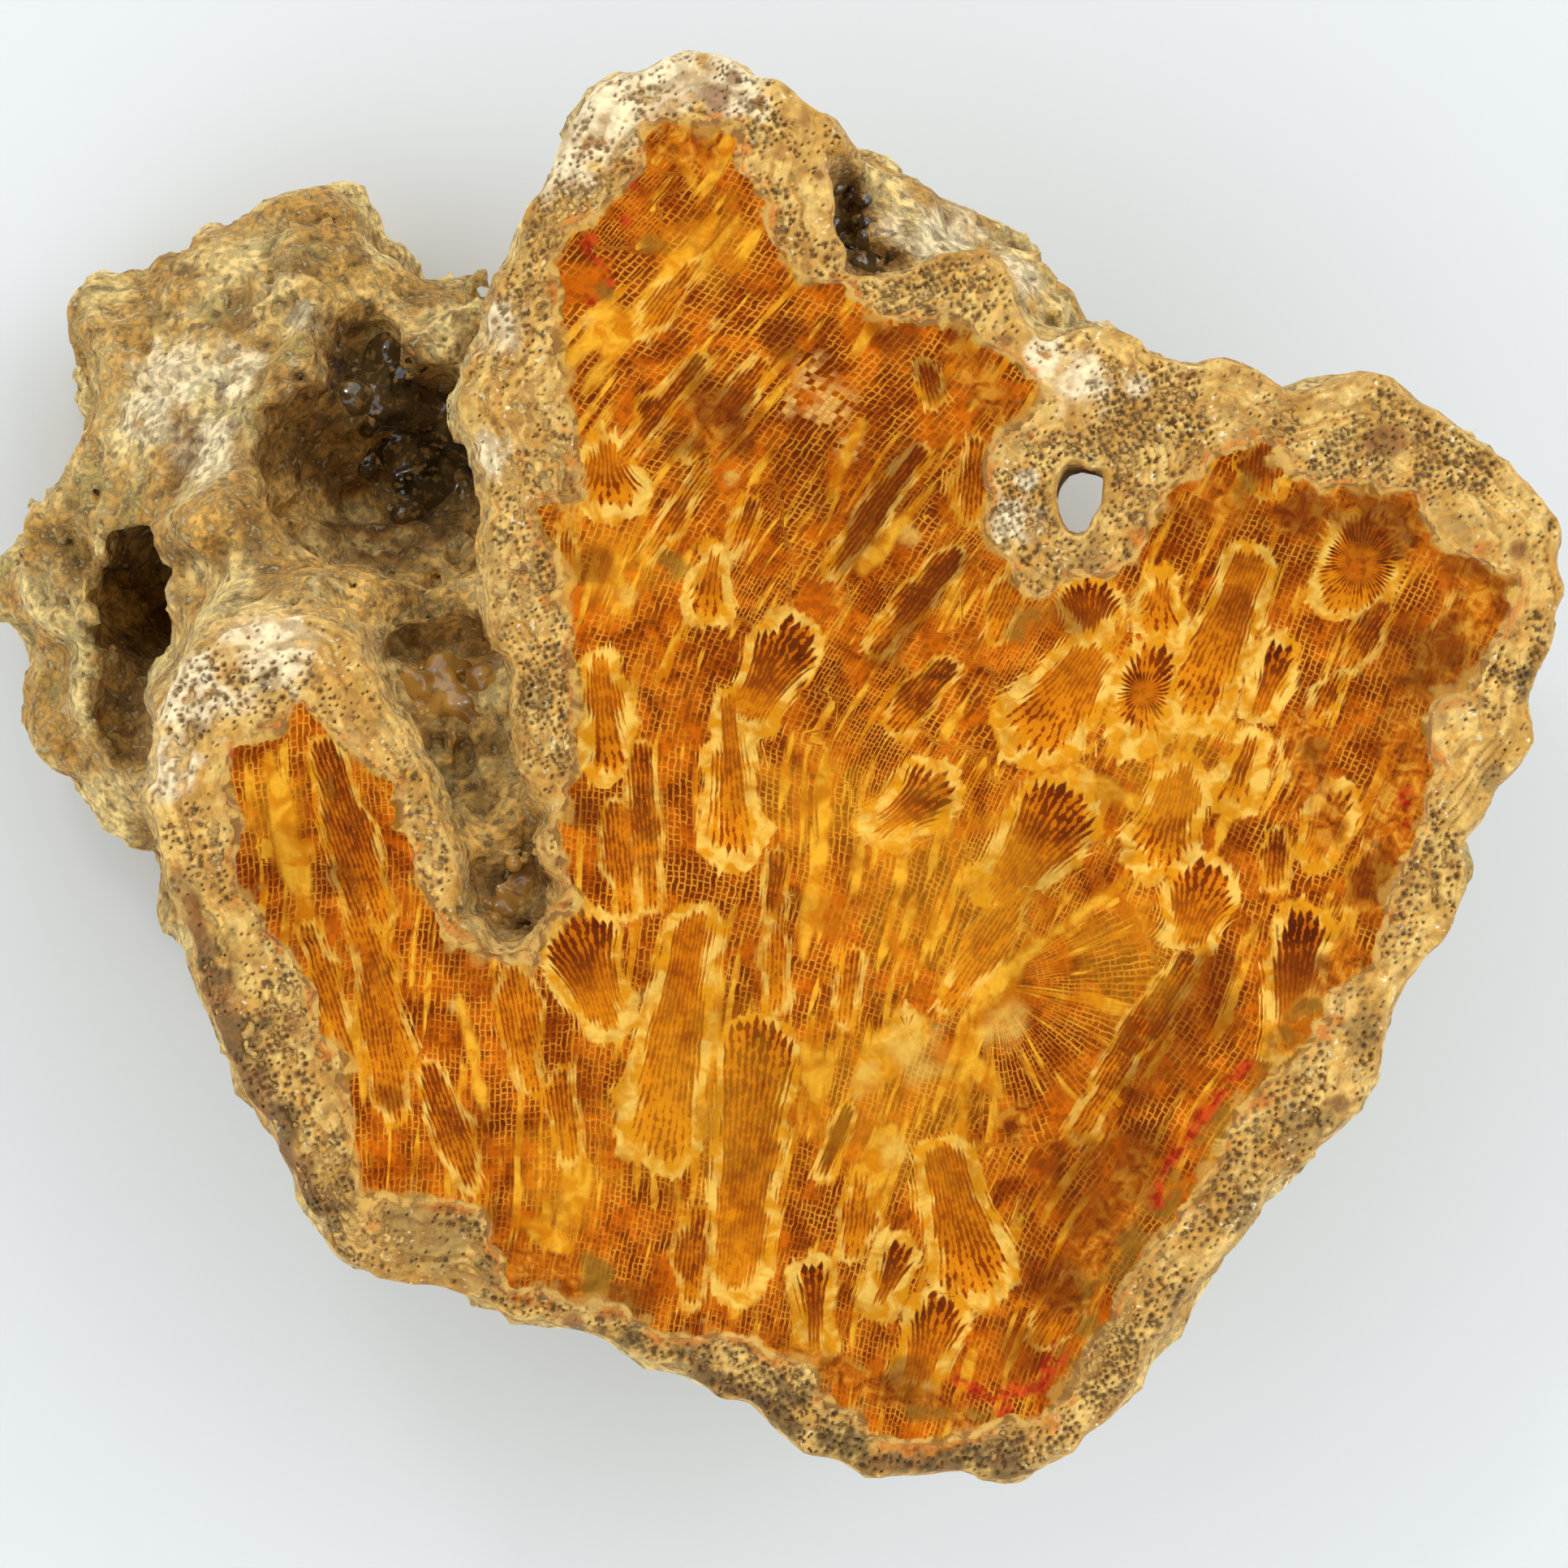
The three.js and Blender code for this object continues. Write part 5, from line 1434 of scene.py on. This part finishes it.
@dataclass(frozen=True)
class PolishedCoral:
    """Agatised coral with a glossy polish: amber cells in a golden mesh, smooth gold streaks, and cups.

    Attributes:
        cell: colours of the mesh's cells.
        dot: colour of cells filled with pale stone.
        line: colours of the mesh's lines, duller and brighter.
        gold: colours of the streaks without a mesh.
        cup_body: colours inside a cup, at its base and in its dark middle.
        cup_gap: colours of the dashes there.
        rim: colours of the smooth wall round a cup.
        glow: the brighter parts.
        mud: colours of a broken mesh: dark, brown and pale.
        brown: the smoky parts' colour.
        stains: layers over the finished pattern.
        edge: colour along the seam.
        torn: red streaks.
        crust: colours of the ragged end at the seam.
        roughness: roughness of the polish, which is dull in a thin line at the seam.
    """

    cell: Mottle = Mottle((196, 92, 3), (126, 48, 2), 0.005, (0.38, 0.6), 5.0, 0.8)
    dot: Colour = (226, 176, 98)
    line: tuple[Colour, Colour] = ((198, 104, 5), (232, 156, 42))
    gold: Mottle = Mottle((206, 118, 5), (240, 172, 44), 0.0026, (0.35, 0.65), 3.0, 0.8)
    cup_body: tuple[Colour, Colour] = ((224, 134, 12), (182, 84, 5))
    cup_gap: tuple[Colour, Colour] = ((160, 66, 3), (80, 25, 2))
    rim: Mottle = Mottle((222, 144, 18), (246, 196, 88), 0.0022, (0.4, 0.64), 4.0, 0.6)
    glow: Layer = Layer((244, 168, 30), 0.24, "bright")
    mud: tuple[Colour, Colour, Colour] = ((118, 50, 5), (190, 98, 8), (220, 150, 44))
    brown: Colour = (102, 38, 3)
    stains: tuple[Layer, ...] = (
        Layer((134, 96, 28), 0.75, "olive", 0.003, (0.36, 0.62), 6.0),
        Layer((232, 186, 84), 0.7, "pale", 0.0016, (0.2, 0.7)),
    )
    edge: Colour = (196, 146, 66)
    torn: Layer = Layer(
        Mottle((150, 26, 8), (206, 70, 22), 0.0017, (0.42, 0.62), 4.0, 0.6),
        0.9, "red", 0.0026, (0.38, 0.54), 6.0, 1.2,
    )
    crust: Mottle = Mottle((210, 162, 76), (146, 98, 32), 0.002, (0.42, 0.58), 5.0, 0.7)
    roughness: float = 0.16

    def mesh_colour(self, g: Graph) -> Socket:
        """Cells between lines that run along the growth, with cross-bars a little off from row to row."""
        sway = (g.noise(0.0011, 2.0) - 0.5) * 0.9
        u = g.attribute("mesh_u") + sway
        row = u.floor()
        v = g.attribute("mesh_v") + g.random(row, 3.0) * 0.35 + sway
        kept = g.random(row, (v + 0.5).floor()).step(0.05, 0.5)
        bar = v.off_middle().step(0.3, 0.5) * kept
        line = u.off_middle().step(0.26, 0.5).or_more(bar * 0.85)
        each = g.random(row, v.floor())
        cell = g.scaled(self.cell.colour(g), each * 0.5 + 0.7)
        cell = g.mix(g.attribute("dotted") * each.step(0.2, 0.7), cell, self.dot)
        patchy = g.noise(0.0032, 4.0, turn=0.5)
        bright = g.mix(patchy.step(0.35, 0.68), *self.line)
        return g.mix(line * patchy.step(0.15, 0.55), cell, bright)

    def streaks(self, g: Graph) -> Number:
        """Where the stone is smooth gold: long patches along the growth, and the broad bands."""
        place = g.place_of(g.attribute("mesh_u") * 0.46, g.attribute("mesh_v") * 0.05)
        long = g.attribute("bright") * 0.04 + g.noise(1.0, 5.0, place, 0.5)
        return long.step(0.555, 0.63).or_more(g.attribute("gold").step(-0.3, 0.6))

    def cup_colour(self, g: Graph) -> tuple[Socket, Number]:
        """The cups' colour, and where they are.

        Dark dashes between gold lines, broader in a darker cup, end in a comb in a smooth gold wall that is
        broad round the base; the wall frays outwards the same way.
        """
        cup, climb, rim, teeth = (g.attribute(name) for name in ("cup", "climb", "rim", "teeth"))
        phase = g.attribute("phase") + (g.noise(0.002, 3.0) - 0.5) * 1.1
        number = (phase + 0.5).floor()
        beat = abs(phase - number)
        each = g.random(number, 7.0)
        depth = (climb.step(0.1, 0.55) * 0.75 + 0.25) * g.attribute("dark")
        depth = depth + (g.noise(0.0026, 4.0, turn=0.4) - 0.5) * 1.7
        dash = g.noise(1.0, 3.0, g.place_of(number * 7.3, g.attribute("mesh_v") * 0.26)) - 0.5
        crumb = g.noise(0.0008, 3.0) - 0.5
        broad = depth * 0.34 + 0.07 + dash * 0.8 + crumb * 1.3
        blur = crumb.step(-0.02, 0.14) * (1.0 - teeth)
        dark = ((beat - broad).step(0.07, -0.07) * teeth).or_more(blur * 0.6)
        inner = g.mix(dark, g.mix(depth, *self.cup_body), g.mix(depth, *self.cup_gap))
        comb = (beat - 0.25) * 2.0 * teeth + (each - 0.5) * 0.9
        uneven = (g.noise(0.0026, 3.0) - 0.5) * 2.6
        reach = (uneven * 0.4 + 0.5 + comb) * rim
        frayed = beat.step(0.3, 0.1) * each * 0.8
        outer = (climb.step(0.5, 0.0) * 0.8 + 1.1 + uneven * 0.8) * rim
        where = (cup + frayed + outer).step(0.0, 0.5) * (rim * 0.35 + 0.65)
        return g.mix((cup - reach).step(0.25, -0.25), inner, self.rim.colour(g)), where

    def material(self) -> bpy.types.Material:
        """The finish as a node graph that reads the pattern's attributes."""
        g = Graph("polished_coral")
        base = g.mix(self.streaks(g), self.mesh_colour(g), self.gold.colour(g))
        cup, where = self.cup_colour(g)
        base = self.glow.over(g, g.mix(where, base, cup))
        mud = g.noise(0.0017, 5.0, turn=0.9)
        mixed = g.mix(mud.step(0.5, 0.62), g.mix(mud.step(0.36, 0.5), *self.mud[:2]), self.mud[2])
        base = g.mix(g.attribute("muddy") * 0.72, base, mixed)
        clouds = g.noise(0.0045, 5.0, turn=1.0).step(0.46, 0.66)
        base = g.mix(g.attribute("brown").or_more(clouds * 0.4) * 0.6, base, self.brown)
        base = layered(g, base, self.stains)
        base = g.mix(g.past_seam().step(5.4, 4.2) * 0.7, base, self.edge)
        base = self.torn.over(g, base)
        seam = g.attribute("seam")
        ragged = seam + (0.5 - g.noise(0.0026, 6.0)) * 3.0
        base = g.mix(ragged.step(0.62, 0.3), base, self.crust.colour(g))
        base = g.scaled(base, (g.noise(0.014, 2.0) * 0.64 + 0.59) * (g.noise(0.0005, 1.0) * 0.3 + 0.85))
        g.set(Base_Color=base, Roughness=seam.step(0.4, 0.05) * 0.5 + self.roughness, IOR=1.45)
        g.bump(g.noise(0.0012, 3.0), 0.12, 0.0001)
        return g.material


@dataclass(frozen=True)
class ChalkyRind:
    """The rind: ochre with cream and weathered parts, porous, with white grains and browned spots.

    Attributes:
        ochre: its main colours.
        bed: colour of its thin beds.
        stains: layers over them; the last is painted shade in the rind's low places.
        grain: colour of the white grains.
        spots: layers over the grains.
        pit: colour of the pores in ochre and in cream.
        amber: colour beside the seam.
        roughness: its roughness.
    """

    ochre: Mottle = Mottle((224, 184, 100), (192, 142, 56), 0.005, (0.4, 0.62), 5.0, 0.4)
    bed: Colour = (204, 150, 64)
    stains: tuple[Layer, ...] = (
        Layer((250, 234, 192), 0.78, "cream"),
        Layer((172, 120, 52), 1.0, "", 0.0024, (0.58, 0.74), 6.0, 0.5),
        Layer((146, 112, 54), 0.75, "olive"),
        # Painted shade: darker where the rind's relief lies low.
        Layer((158, 110, 46), 0.5, "low"),
    )
    grain: Colour = (238, 222, 180)
    spots: tuple[Layer, ...] = (
        Layer((130, 76, 22), 0.8, "brown"),
        Layer((116, 88, 40), 0.9, "worn", 0.0016, (0.3, 0.58)),
    )
    pit: tuple[Colour, Colour] = ((88, 58, 22), (128, 100, 58))
    amber: Colour = (196, 116, 26)
    roughness: float = 0.66

    def material(self) -> bpy.types.Material:
        """The finish as a node graph that reads the rind's attributes."""
        g = Graph("chalky_rind")
        bent = g.noise(0.004, 2.0) * 3.0
        beds = g.noise(1.0, 4.0, g.place_of(g.attribute("edge") * 1.2 + bent, bent * 1.5))
        base = g.mix(beds.step(0.5, 0.62), self.ochre.colour(g), self.bed)
        base = layered(g, base, self.stains)
        quartz = g.noise(0.0007, 2.0).step(0.6, 0.7) * g.noise(0.004, 2.0).step(0.5, 0.6)
        base = layered(g, g.mix(quartz, base, self.grain), self.spots)
        base = g.mix(g.attribute("pore") * 0.85, base, g.mix(g.attribute("cream"), *self.pit))
        base = g.mix(g.past_seam().step(3.6, 5.2) * 0.9, base, self.amber)
        fine = g.noise(0.0009, 2.5)
        # One noise darkens the colour and sinks the bump together: painted shade in the bump's low places and
        # painted light on its high ones.
        base = g.scaled(base, fine.step(0.3, 0.7) * 0.36 + 0.85)
        g.set(Base_Color=base, Roughness=self.roughness, IOR=1.45)
        g.bump(fine, 0.9, 0.0006)
        return g.material


@dataclass(frozen=True)
class WeatheredStone:
    """The rough sides: granular khaki, ochre and olive, and dark deep in the hollows: a brown stain with
    painted shade over it.

    Attributes:
        khaki: its main colours.
        stains: layers over them; the last is painted shade in the surface's pits and creases.
        fresh: colour close below the face.
        deep: colours in a hollow, from its mouth to its bottom: its brown stain, made darker further in as
            painted shade.
        painted_hollow_light: colour of ochre stone inside a hollow, lightened as painted light against the
            hollow's shade.
        grains: dark and light grains over all.
        roughness: its roughness.
    """

    khaki: Mottle = Mottle((226, 196, 124), (180, 134, 58), 0.011, (0.42, 0.6), 6.0)
    stains: tuple[Layer, ...] = (
        Layer((150, 136, 74), 0.6, "", 0.007, (0.54, 0.68), 6.0),
        Layer((216, 164, 72), 0.7, "ochre"),
        Layer((238, 220, 178), 0.7, "cream"),
        Layer((150, 140, 104), 0.7, "grey"),
        Layer((134, 98, 40), 0.85, "", 0.0036, (0.52, 0.7)),
        Layer((136, 96, 42), 0.65, "brown"),
        # Painted shade: darker in the pits and creases of the rough surface.
        Layer((96, 68, 28), 0.5, "pit"),
    )
    fresh: Colour = (210, 164, 84)
    deep: tuple[Colour, Colour, Colour] = ((170, 128, 62), (126, 94, 44), (66, 46, 20))
    painted_hollow_light: Colour = (236, 196, 116)
    grains: tuple[Layer, ...] = (
        Layer((92, 66, 30), 0.66, "", 0.0014, (0.52, 0.66), 3.5),
        Layer((240, 214, 152), 0.65, "", 0.001, (0.42, 0.33), 3.0),
    )
    roughness: float = 0.85

    def material(self) -> bpy.types.Material:
        """The finish as a node graph that reads the body's attributes."""
        g = Graph("weathered_stone")
        hollow, ochre = g.attribute("hollow"), g.attribute("ochre")
        base = layered(g, self.khaki.colour(g), self.stains)
        base = g.mix(g.attribute("depth").step(9.0, 3.0) * 0.6, base, self.fresh)
        # Darker deep in the hollows: the walls' brown stain with painted shade, growing inwards from the
        # mouth; less of it on ochre stone.
        stain = hollow + (g.noise(0.0034, 4.5) - 0.5) * 2.6 - ochre * 1.6
        for edge, colour in zip(((0.15, 0.8), (0.6, 1.1), (1.1, 1.5)), self.deep):
            base = g.mix(stain.step(*edge), base, colour)
        # Painted light: ochre stone inside a hollow is lightened to lift the shade there.
        base = g.mix(ochre * hollow.step(0.02, 0.5) * 0.75, base, self.painted_hollow_light)
        base = layered(g, base, self.grains)
        grit = g.noise(0.001, 4.0)
        # One noise darkens the colour and sinks the bump together: a fine grain in the stone's colour, and
        # painted shade in the bump's low places.
        base = g.scaled(base, grit.step(0.36, 0.64) * 0.66 + 0.7)
        g.set(Base_Color=base, Roughness=self.roughness)
        g.bump(grit, 0.9, 0.0009)
        return g.material


@dataclass(frozen=True)
class Chalcedony:
    """Smoky, glassy chalcedony.

    Attributes:
        name: the material's name.
        clear: its colour where it is clearest.
        smoke: its colour where it is darkest.
        roughness: roughness of its skin.
        coat: strength of its wet gloss.
        stain: ochre spots on it.
    """

    name: str = "smoky_shaded_chalcedony"
    clear: Colour = (92, 72, 42)
    smoke: Colour = (36, 27, 15)
    roughness: float = 0.06
    coat: float = 1.0
    stain: Layer = Layer((158, 122, 66), 1.0, "", 0.0011, (0.52, 0.66))

    def material(self) -> bpy.types.Material:
        """The finish as a node graph that reads the crust's fog."""
        g = Graph(self.name)
        base = self.stain.over(g, g.mix(g.attribute("fog").step(-0.4, 0.6), self.clear, self.smoke))
        g.set(Base_Color=base, Roughness=self.roughness, IOR=1.5, Coat_Weight=self.coat, Coat_Roughness=0.02)
        g.bump(g.noise(0.0008, 2.0), 0.25, 0.0003)
        return g.material


class Glass(Enum):
    """The two chalcedonies: the smoky one in the hollows is dark partly as its own smoke and partly as painted
    shade; the tan one lies in the shallow places.
    """

    SMOKY = Chalcedony()
    TAN = Chalcedony("tan_chalcedony", (208, 158, 74), (150, 104, 40), 0.14, 0.6)


# The hollows' crystal crusts -------------------------------------------------------------------------------


@dataclass(frozen=True)
class Crust:
    """A crust of chalcedony that grew as round domes over a hollow's floor.

    Attributes:
        name: its CAD node's name; the piece is called the same with _domes after it.
        start: depth from which the floor is looked for.
        domes: x, y and radius of the main domes.
        buds: number of smaller domes round each.
        sink: share of a dome's radius that its centre lies under the floor.
        merge: breadth over which the domes run together, in millimetres.
        cell: lattice spacing of its surface.
        glass: the chalcedony that it is made of.
        bud_reach: how far a bud lies from its dome's middle, in the dome's radii.
        bud_size: a bud's radius, in the dome's.
        spread: how far above or below the others' floor a dome may lie.
        ripple: height of the surface's ripple.
    """

    name: str
    start: float
    domes: tuple[tuple[float, float, float], ...]
    buds: int = 9
    sink: float = 0.62
    merge: float = 1.6
    cell: float = 0.34
    glass: Glass = Glass.SMOKY
    bud_reach: tuple[float, float] = (0.2, 1.4)
    bud_size: tuple[float, float] = (0.25, 0.6)
    spread: float = 12.0
    ripple: float = 0.22

    def spheres(self, form: StoneForm) -> Array:
        """The (n, 4) centres and radii: the main domes, and the buds strewn round each, set on the floor."""
        main = np.array(self.domes)
        rng = np.random.default_rng(sum(map(ord, self.name)))
        host = np.repeat(main, self.buds, axis=0)
        turn = rng.uniform(0.0, 2.0 * math.pi, len(host))
        away = rng.uniform(*self.bud_reach, len(host)) * host[:, 2]
        size = host[:, 2] * rng.uniform(*self.bud_size, len(host))
        bud = np.stack([host[:, 0] + away * np.cos(turn), host[:, 1] + away * np.sin(turn), size], axis=1)
        every = np.concatenate([main, bud])
        floor = form.floor_depth(every[:, 0], every[:, 1], self.start)
        every = np.insert(every, 2, floor + every[:, 2] * self.sink, axis=1)
        reach = np.median(floor[: len(main)])
        return every[(np.abs(floor - reach) < self.spread) & (floor > self.start)]

    def build(self, form: StoneForm) -> bpy.types.Object:
        """The rippled surface of the merged domes."""
        balls = self.spheres(form)
        low = (balls[:, :3] - balls[:, 3:]).min(axis=0) - 1.0
        high = (balls[:, :3] + balls[:, 3:]).max(axis=0) + 1.0
        axes = tuple(np.arange(low[n], high[n] + self.cell, self.cell) for n in range(3))
        x, y, w = np.meshgrid(*axes, indexing="ij")
        away = np.full(x.shape, -FAR_OUTSIDE)
        for cx, cy, cw, radius in balls:
            dome = np.sqrt((x - cx) ** 2 + (y - cy) ** 2 + (w - cw) ** 2) - radius
            away = smooth_union(away, dome, self.merge)
        near = np.abs(away) < 1.0
        away[near] += self.ripple * form.grit(x[near], y[near], w[near], 1.5)
        points, faces = zero_surface(away, axes)
        return add_mesh(self.name + "_domes", to_row(*points.T), faces, {"fog": form.lumps(*points.T, 2.5)})


CRUSTS = [
    Crust(
        "main_hollow_chalcedony", 34.0,
        ((-46, 48, 3), (-45, 44, 3.8), (-41, 42, 4), (-44, 38.5, 3.8), (-39, 38, 4.2), (-42, 34.5, 3.4),
         (-36, 40.5, 4)),
    ),
    Crust(
        "shelf_chalcedony", 2.0,
        ((-39, 10.6, 1.7), (-36.6, 12.4, 1.8), (-35.4, 9.2, 1.7), (-32.4, 11.2, 1.6), (-37.6, 8.6, 1.5),
         (-33.8, 8.0, 1.4)),
        12, 0.72, 0.6, 0.26, Glass.TAN,
    ),
    Crust(
        "cleft_chalcedony", 2.0, ((-29.4, -13, 1.7), (-28.8, -10, 1.7), (-28.2, -11.6, 1.5)),
        12, 0.72, 0.6, 0.26, Glass.TAN,
    ),
    Crust(
        "top_hollow_chalcedony", 2.0, ((6.6, 63, 1.5), (6.8, 60, 1.7), (7.4, 57.4, 1.7), (9.6, 55.4, 1.5)),
        12, 0.5, 0.6, 0.26,
    ),
]


# The studio ------------------------------------------------------------------------------------------------


STONE_MIDDLE = (0.0, 0.0, 0.04)  # metres in the row's frame


@dataclass(frozen=True)
class Lamp:
    """A softbox: where it stands, its two sides in metres, and its power."""

    name: str
    place: tuple[float, float, float]
    size: tuple[float, float]
    power: float

    def build(self) -> None:
        """Makes the light, turned to the stone's middle."""
        data = bpy.data.lights.new(self.name, "AREA")
        data.shape = "RECTANGLE"
        data.size, data.size_y = self.size
        data.energy = self.power
        light = bpy.data.objects.new(self.name, data)
        bpy.context.scene.collection.objects.link(light)
        light.location = self.place
        aim = np.array(STONE_MIDDLE) - np.array(self.place)
        light.rotation_euler = Vector(aim).to_track_quat("-Z", "Y").to_euler()


@dataclass
class Studio:
    """A pale table, soft daylight, and a camera straight over the polished face.

    Attributes:
        camera_height: height of the camera over the face.
        lens: focal length in millimetres.
        sensor: breadth of the camera's sensor in millimetres.
        table: the table's colour.
        table_half: half the table's breadth in metres.
        sky: colour of the light from all round.
        air: brightness of that light.
        overhead: its brightness straight above, where it would dull the polish.
        fall: degrees from straight above where it starts to fall and where it has fallen.
        lamps: the lights.
    """

    camera_height: float = 0.420
    lens: float = 93.96
    sensor: float = 36.0
    table: Colour = (224, 228, 229)
    table_half: float = 3.0
    sky: tuple[float, float, float, float] = (0.95, 0.975, 1.0, 1.0)
    air: float = 1.2
    overhead: float = 0.06
    fall: tuple[float, float] = (23.0, 15.0)
    lamps: tuple[Lamp, ...] = (
        Lamp("key_softbox", (-2.6, 2.4, 4.4), (3.0, 3.0), 7.0),
        Lamp("fill_softbox", (3.2, 1.0, 3.8), (3.0, 3.0), 48.0),
        Lamp("glint_strip", (-0.16, 0.36, 0.62), (0.08, 0.03), 0.35),
    )

    def build(self) -> None:
        """Makes the table, the lights, the surroundings and the camera."""
        self._table()
        for lamp in self.lamps:
            lamp.build()
        self._air()
        self._camera()

    def _table(self) -> None:
        """A flat square at the height of the stone's cut."""
        half = self.table_half
        corners = np.array([(-half, -half, 0), (half, -half, 0), (half, half, 0), (-half, half, 0)])
        floor = add_mesh("table", corners, np.array([[0, 1, 2, 3]]), {})
        graph = Graph("table_paper")
        graph.set(Base_Color=self.table, Roughness=0.9)
        floor.data.materials.append(graph.material)

    def _air(self) -> None:
        """Even pale light from all round, dark straight above."""
        world = bpy.data.worlds.new("daylight")
        world.use_nodes = True
        nodes, links = world.node_tree.nodes, world.node_tree.links
        sky = nodes["Background"]
        sky.inputs["Color"].default_value = self.sky
        direction = nodes.new("ShaderNodeTexCoord")
        split = nodes.new("ShaderNodeSeparateXYZ")
        fall = nodes.new("ShaderNodeMapRange")
        fall.interpolation_type = "SMOOTHSTEP"
        start, end = (math.cos(math.radians(angle)) for angle in self.fall)
        values = {"From Min": start, "From Max": end, "To Min": self.air, "To Max": self.overhead}
        for name, value in values.items():
            fall.inputs[name].default_value = value
        links.new(direction.outputs["Generated"], split.inputs[0])
        links.new(split.outputs["Z"], fall.inputs["Value"])
        links.new(fall.outputs["Result"], sky.inputs["Strength"])
        bpy.context.scene.world = world
        bpy.context.scene.view_settings.view_transform = "Standard"

    def _camera(self) -> None:
        """The camera over the middle of the face's frame, looking straight down, +Y upwards."""
        data = bpy.data.cameras.new("camera")
        data.lens = self.lens
        data.sensor_width = self.sensor
        data.clip_start, data.clip_end = 0.01, 20.0
        camera = bpy.data.objects.new("camera", data)
        bpy.context.scene.collection.objects.link(camera)
        over = to_row(np.array(0.0), np.array(0.0), np.array(0.0))
        camera.location = (over[0], over[1], over[2] + self.camera_height)
        bpy.context.scene.camera = camera


# The stone -------------------------------------------------------------------------------------------------


@dataclass
class FossilCoral:
    """The whole stone: its rough body, the two skins of its face and its hollows' crusts."""

    form: StoneForm = field(default_factory=StoneForm)
    body: RoughBody = field(default_factory=RoughBody)
    polished: PolishedFace = field(default_factory=PolishedFace)
    rind: RindFace = field(default_factory=RindFace)

    def build(self) -> None:
        """Builds every piece and hides the CAD part that it stands for."""
        step = 0.5
        x, y = face_grid(step, MAP_LOW, MAP_HIGH)
        outline = FaceMap(step, inset_of(closed_curve(on_face(POLISHED_OUTLINE)), x, y))
        self._dress(self.body.build(self.form), "coral", WeatheredStone().material())
        face = self.polished.build(self.form, outline, CoralPattern())
        self._dress(face, "coral", PolishedCoral().material())
        self._dress(self.rind.build(self.form, outline), "coral", ChalkyRind().material())
        glass = {kind: kind.value.material() for kind in Glass}
        for crust in CRUSTS:
            self._dress(crust.build(self.form), crust.name, glass[crust.glass])

    def _dress(self, piece: bpy.types.Object, node: str, material: bpy.types.Material) -> None:
        """Gives a piece its finish and body, hides its node's CAD part, and reports it."""
        piece.data.materials.append(material)
        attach(piece, "root")
        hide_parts(node)
        LOG.info("%s: %d triangles", piece.name, len(piece.data.loops) - 2 * len(piece.data.polygons))


def main() -> None:
    logging.basicConfig(level=logging.INFO, format="%(name)s: %(message)s")
    FossilCoral().build()
    Studio().build()
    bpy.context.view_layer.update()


if __name__ == "__main__":
    main()
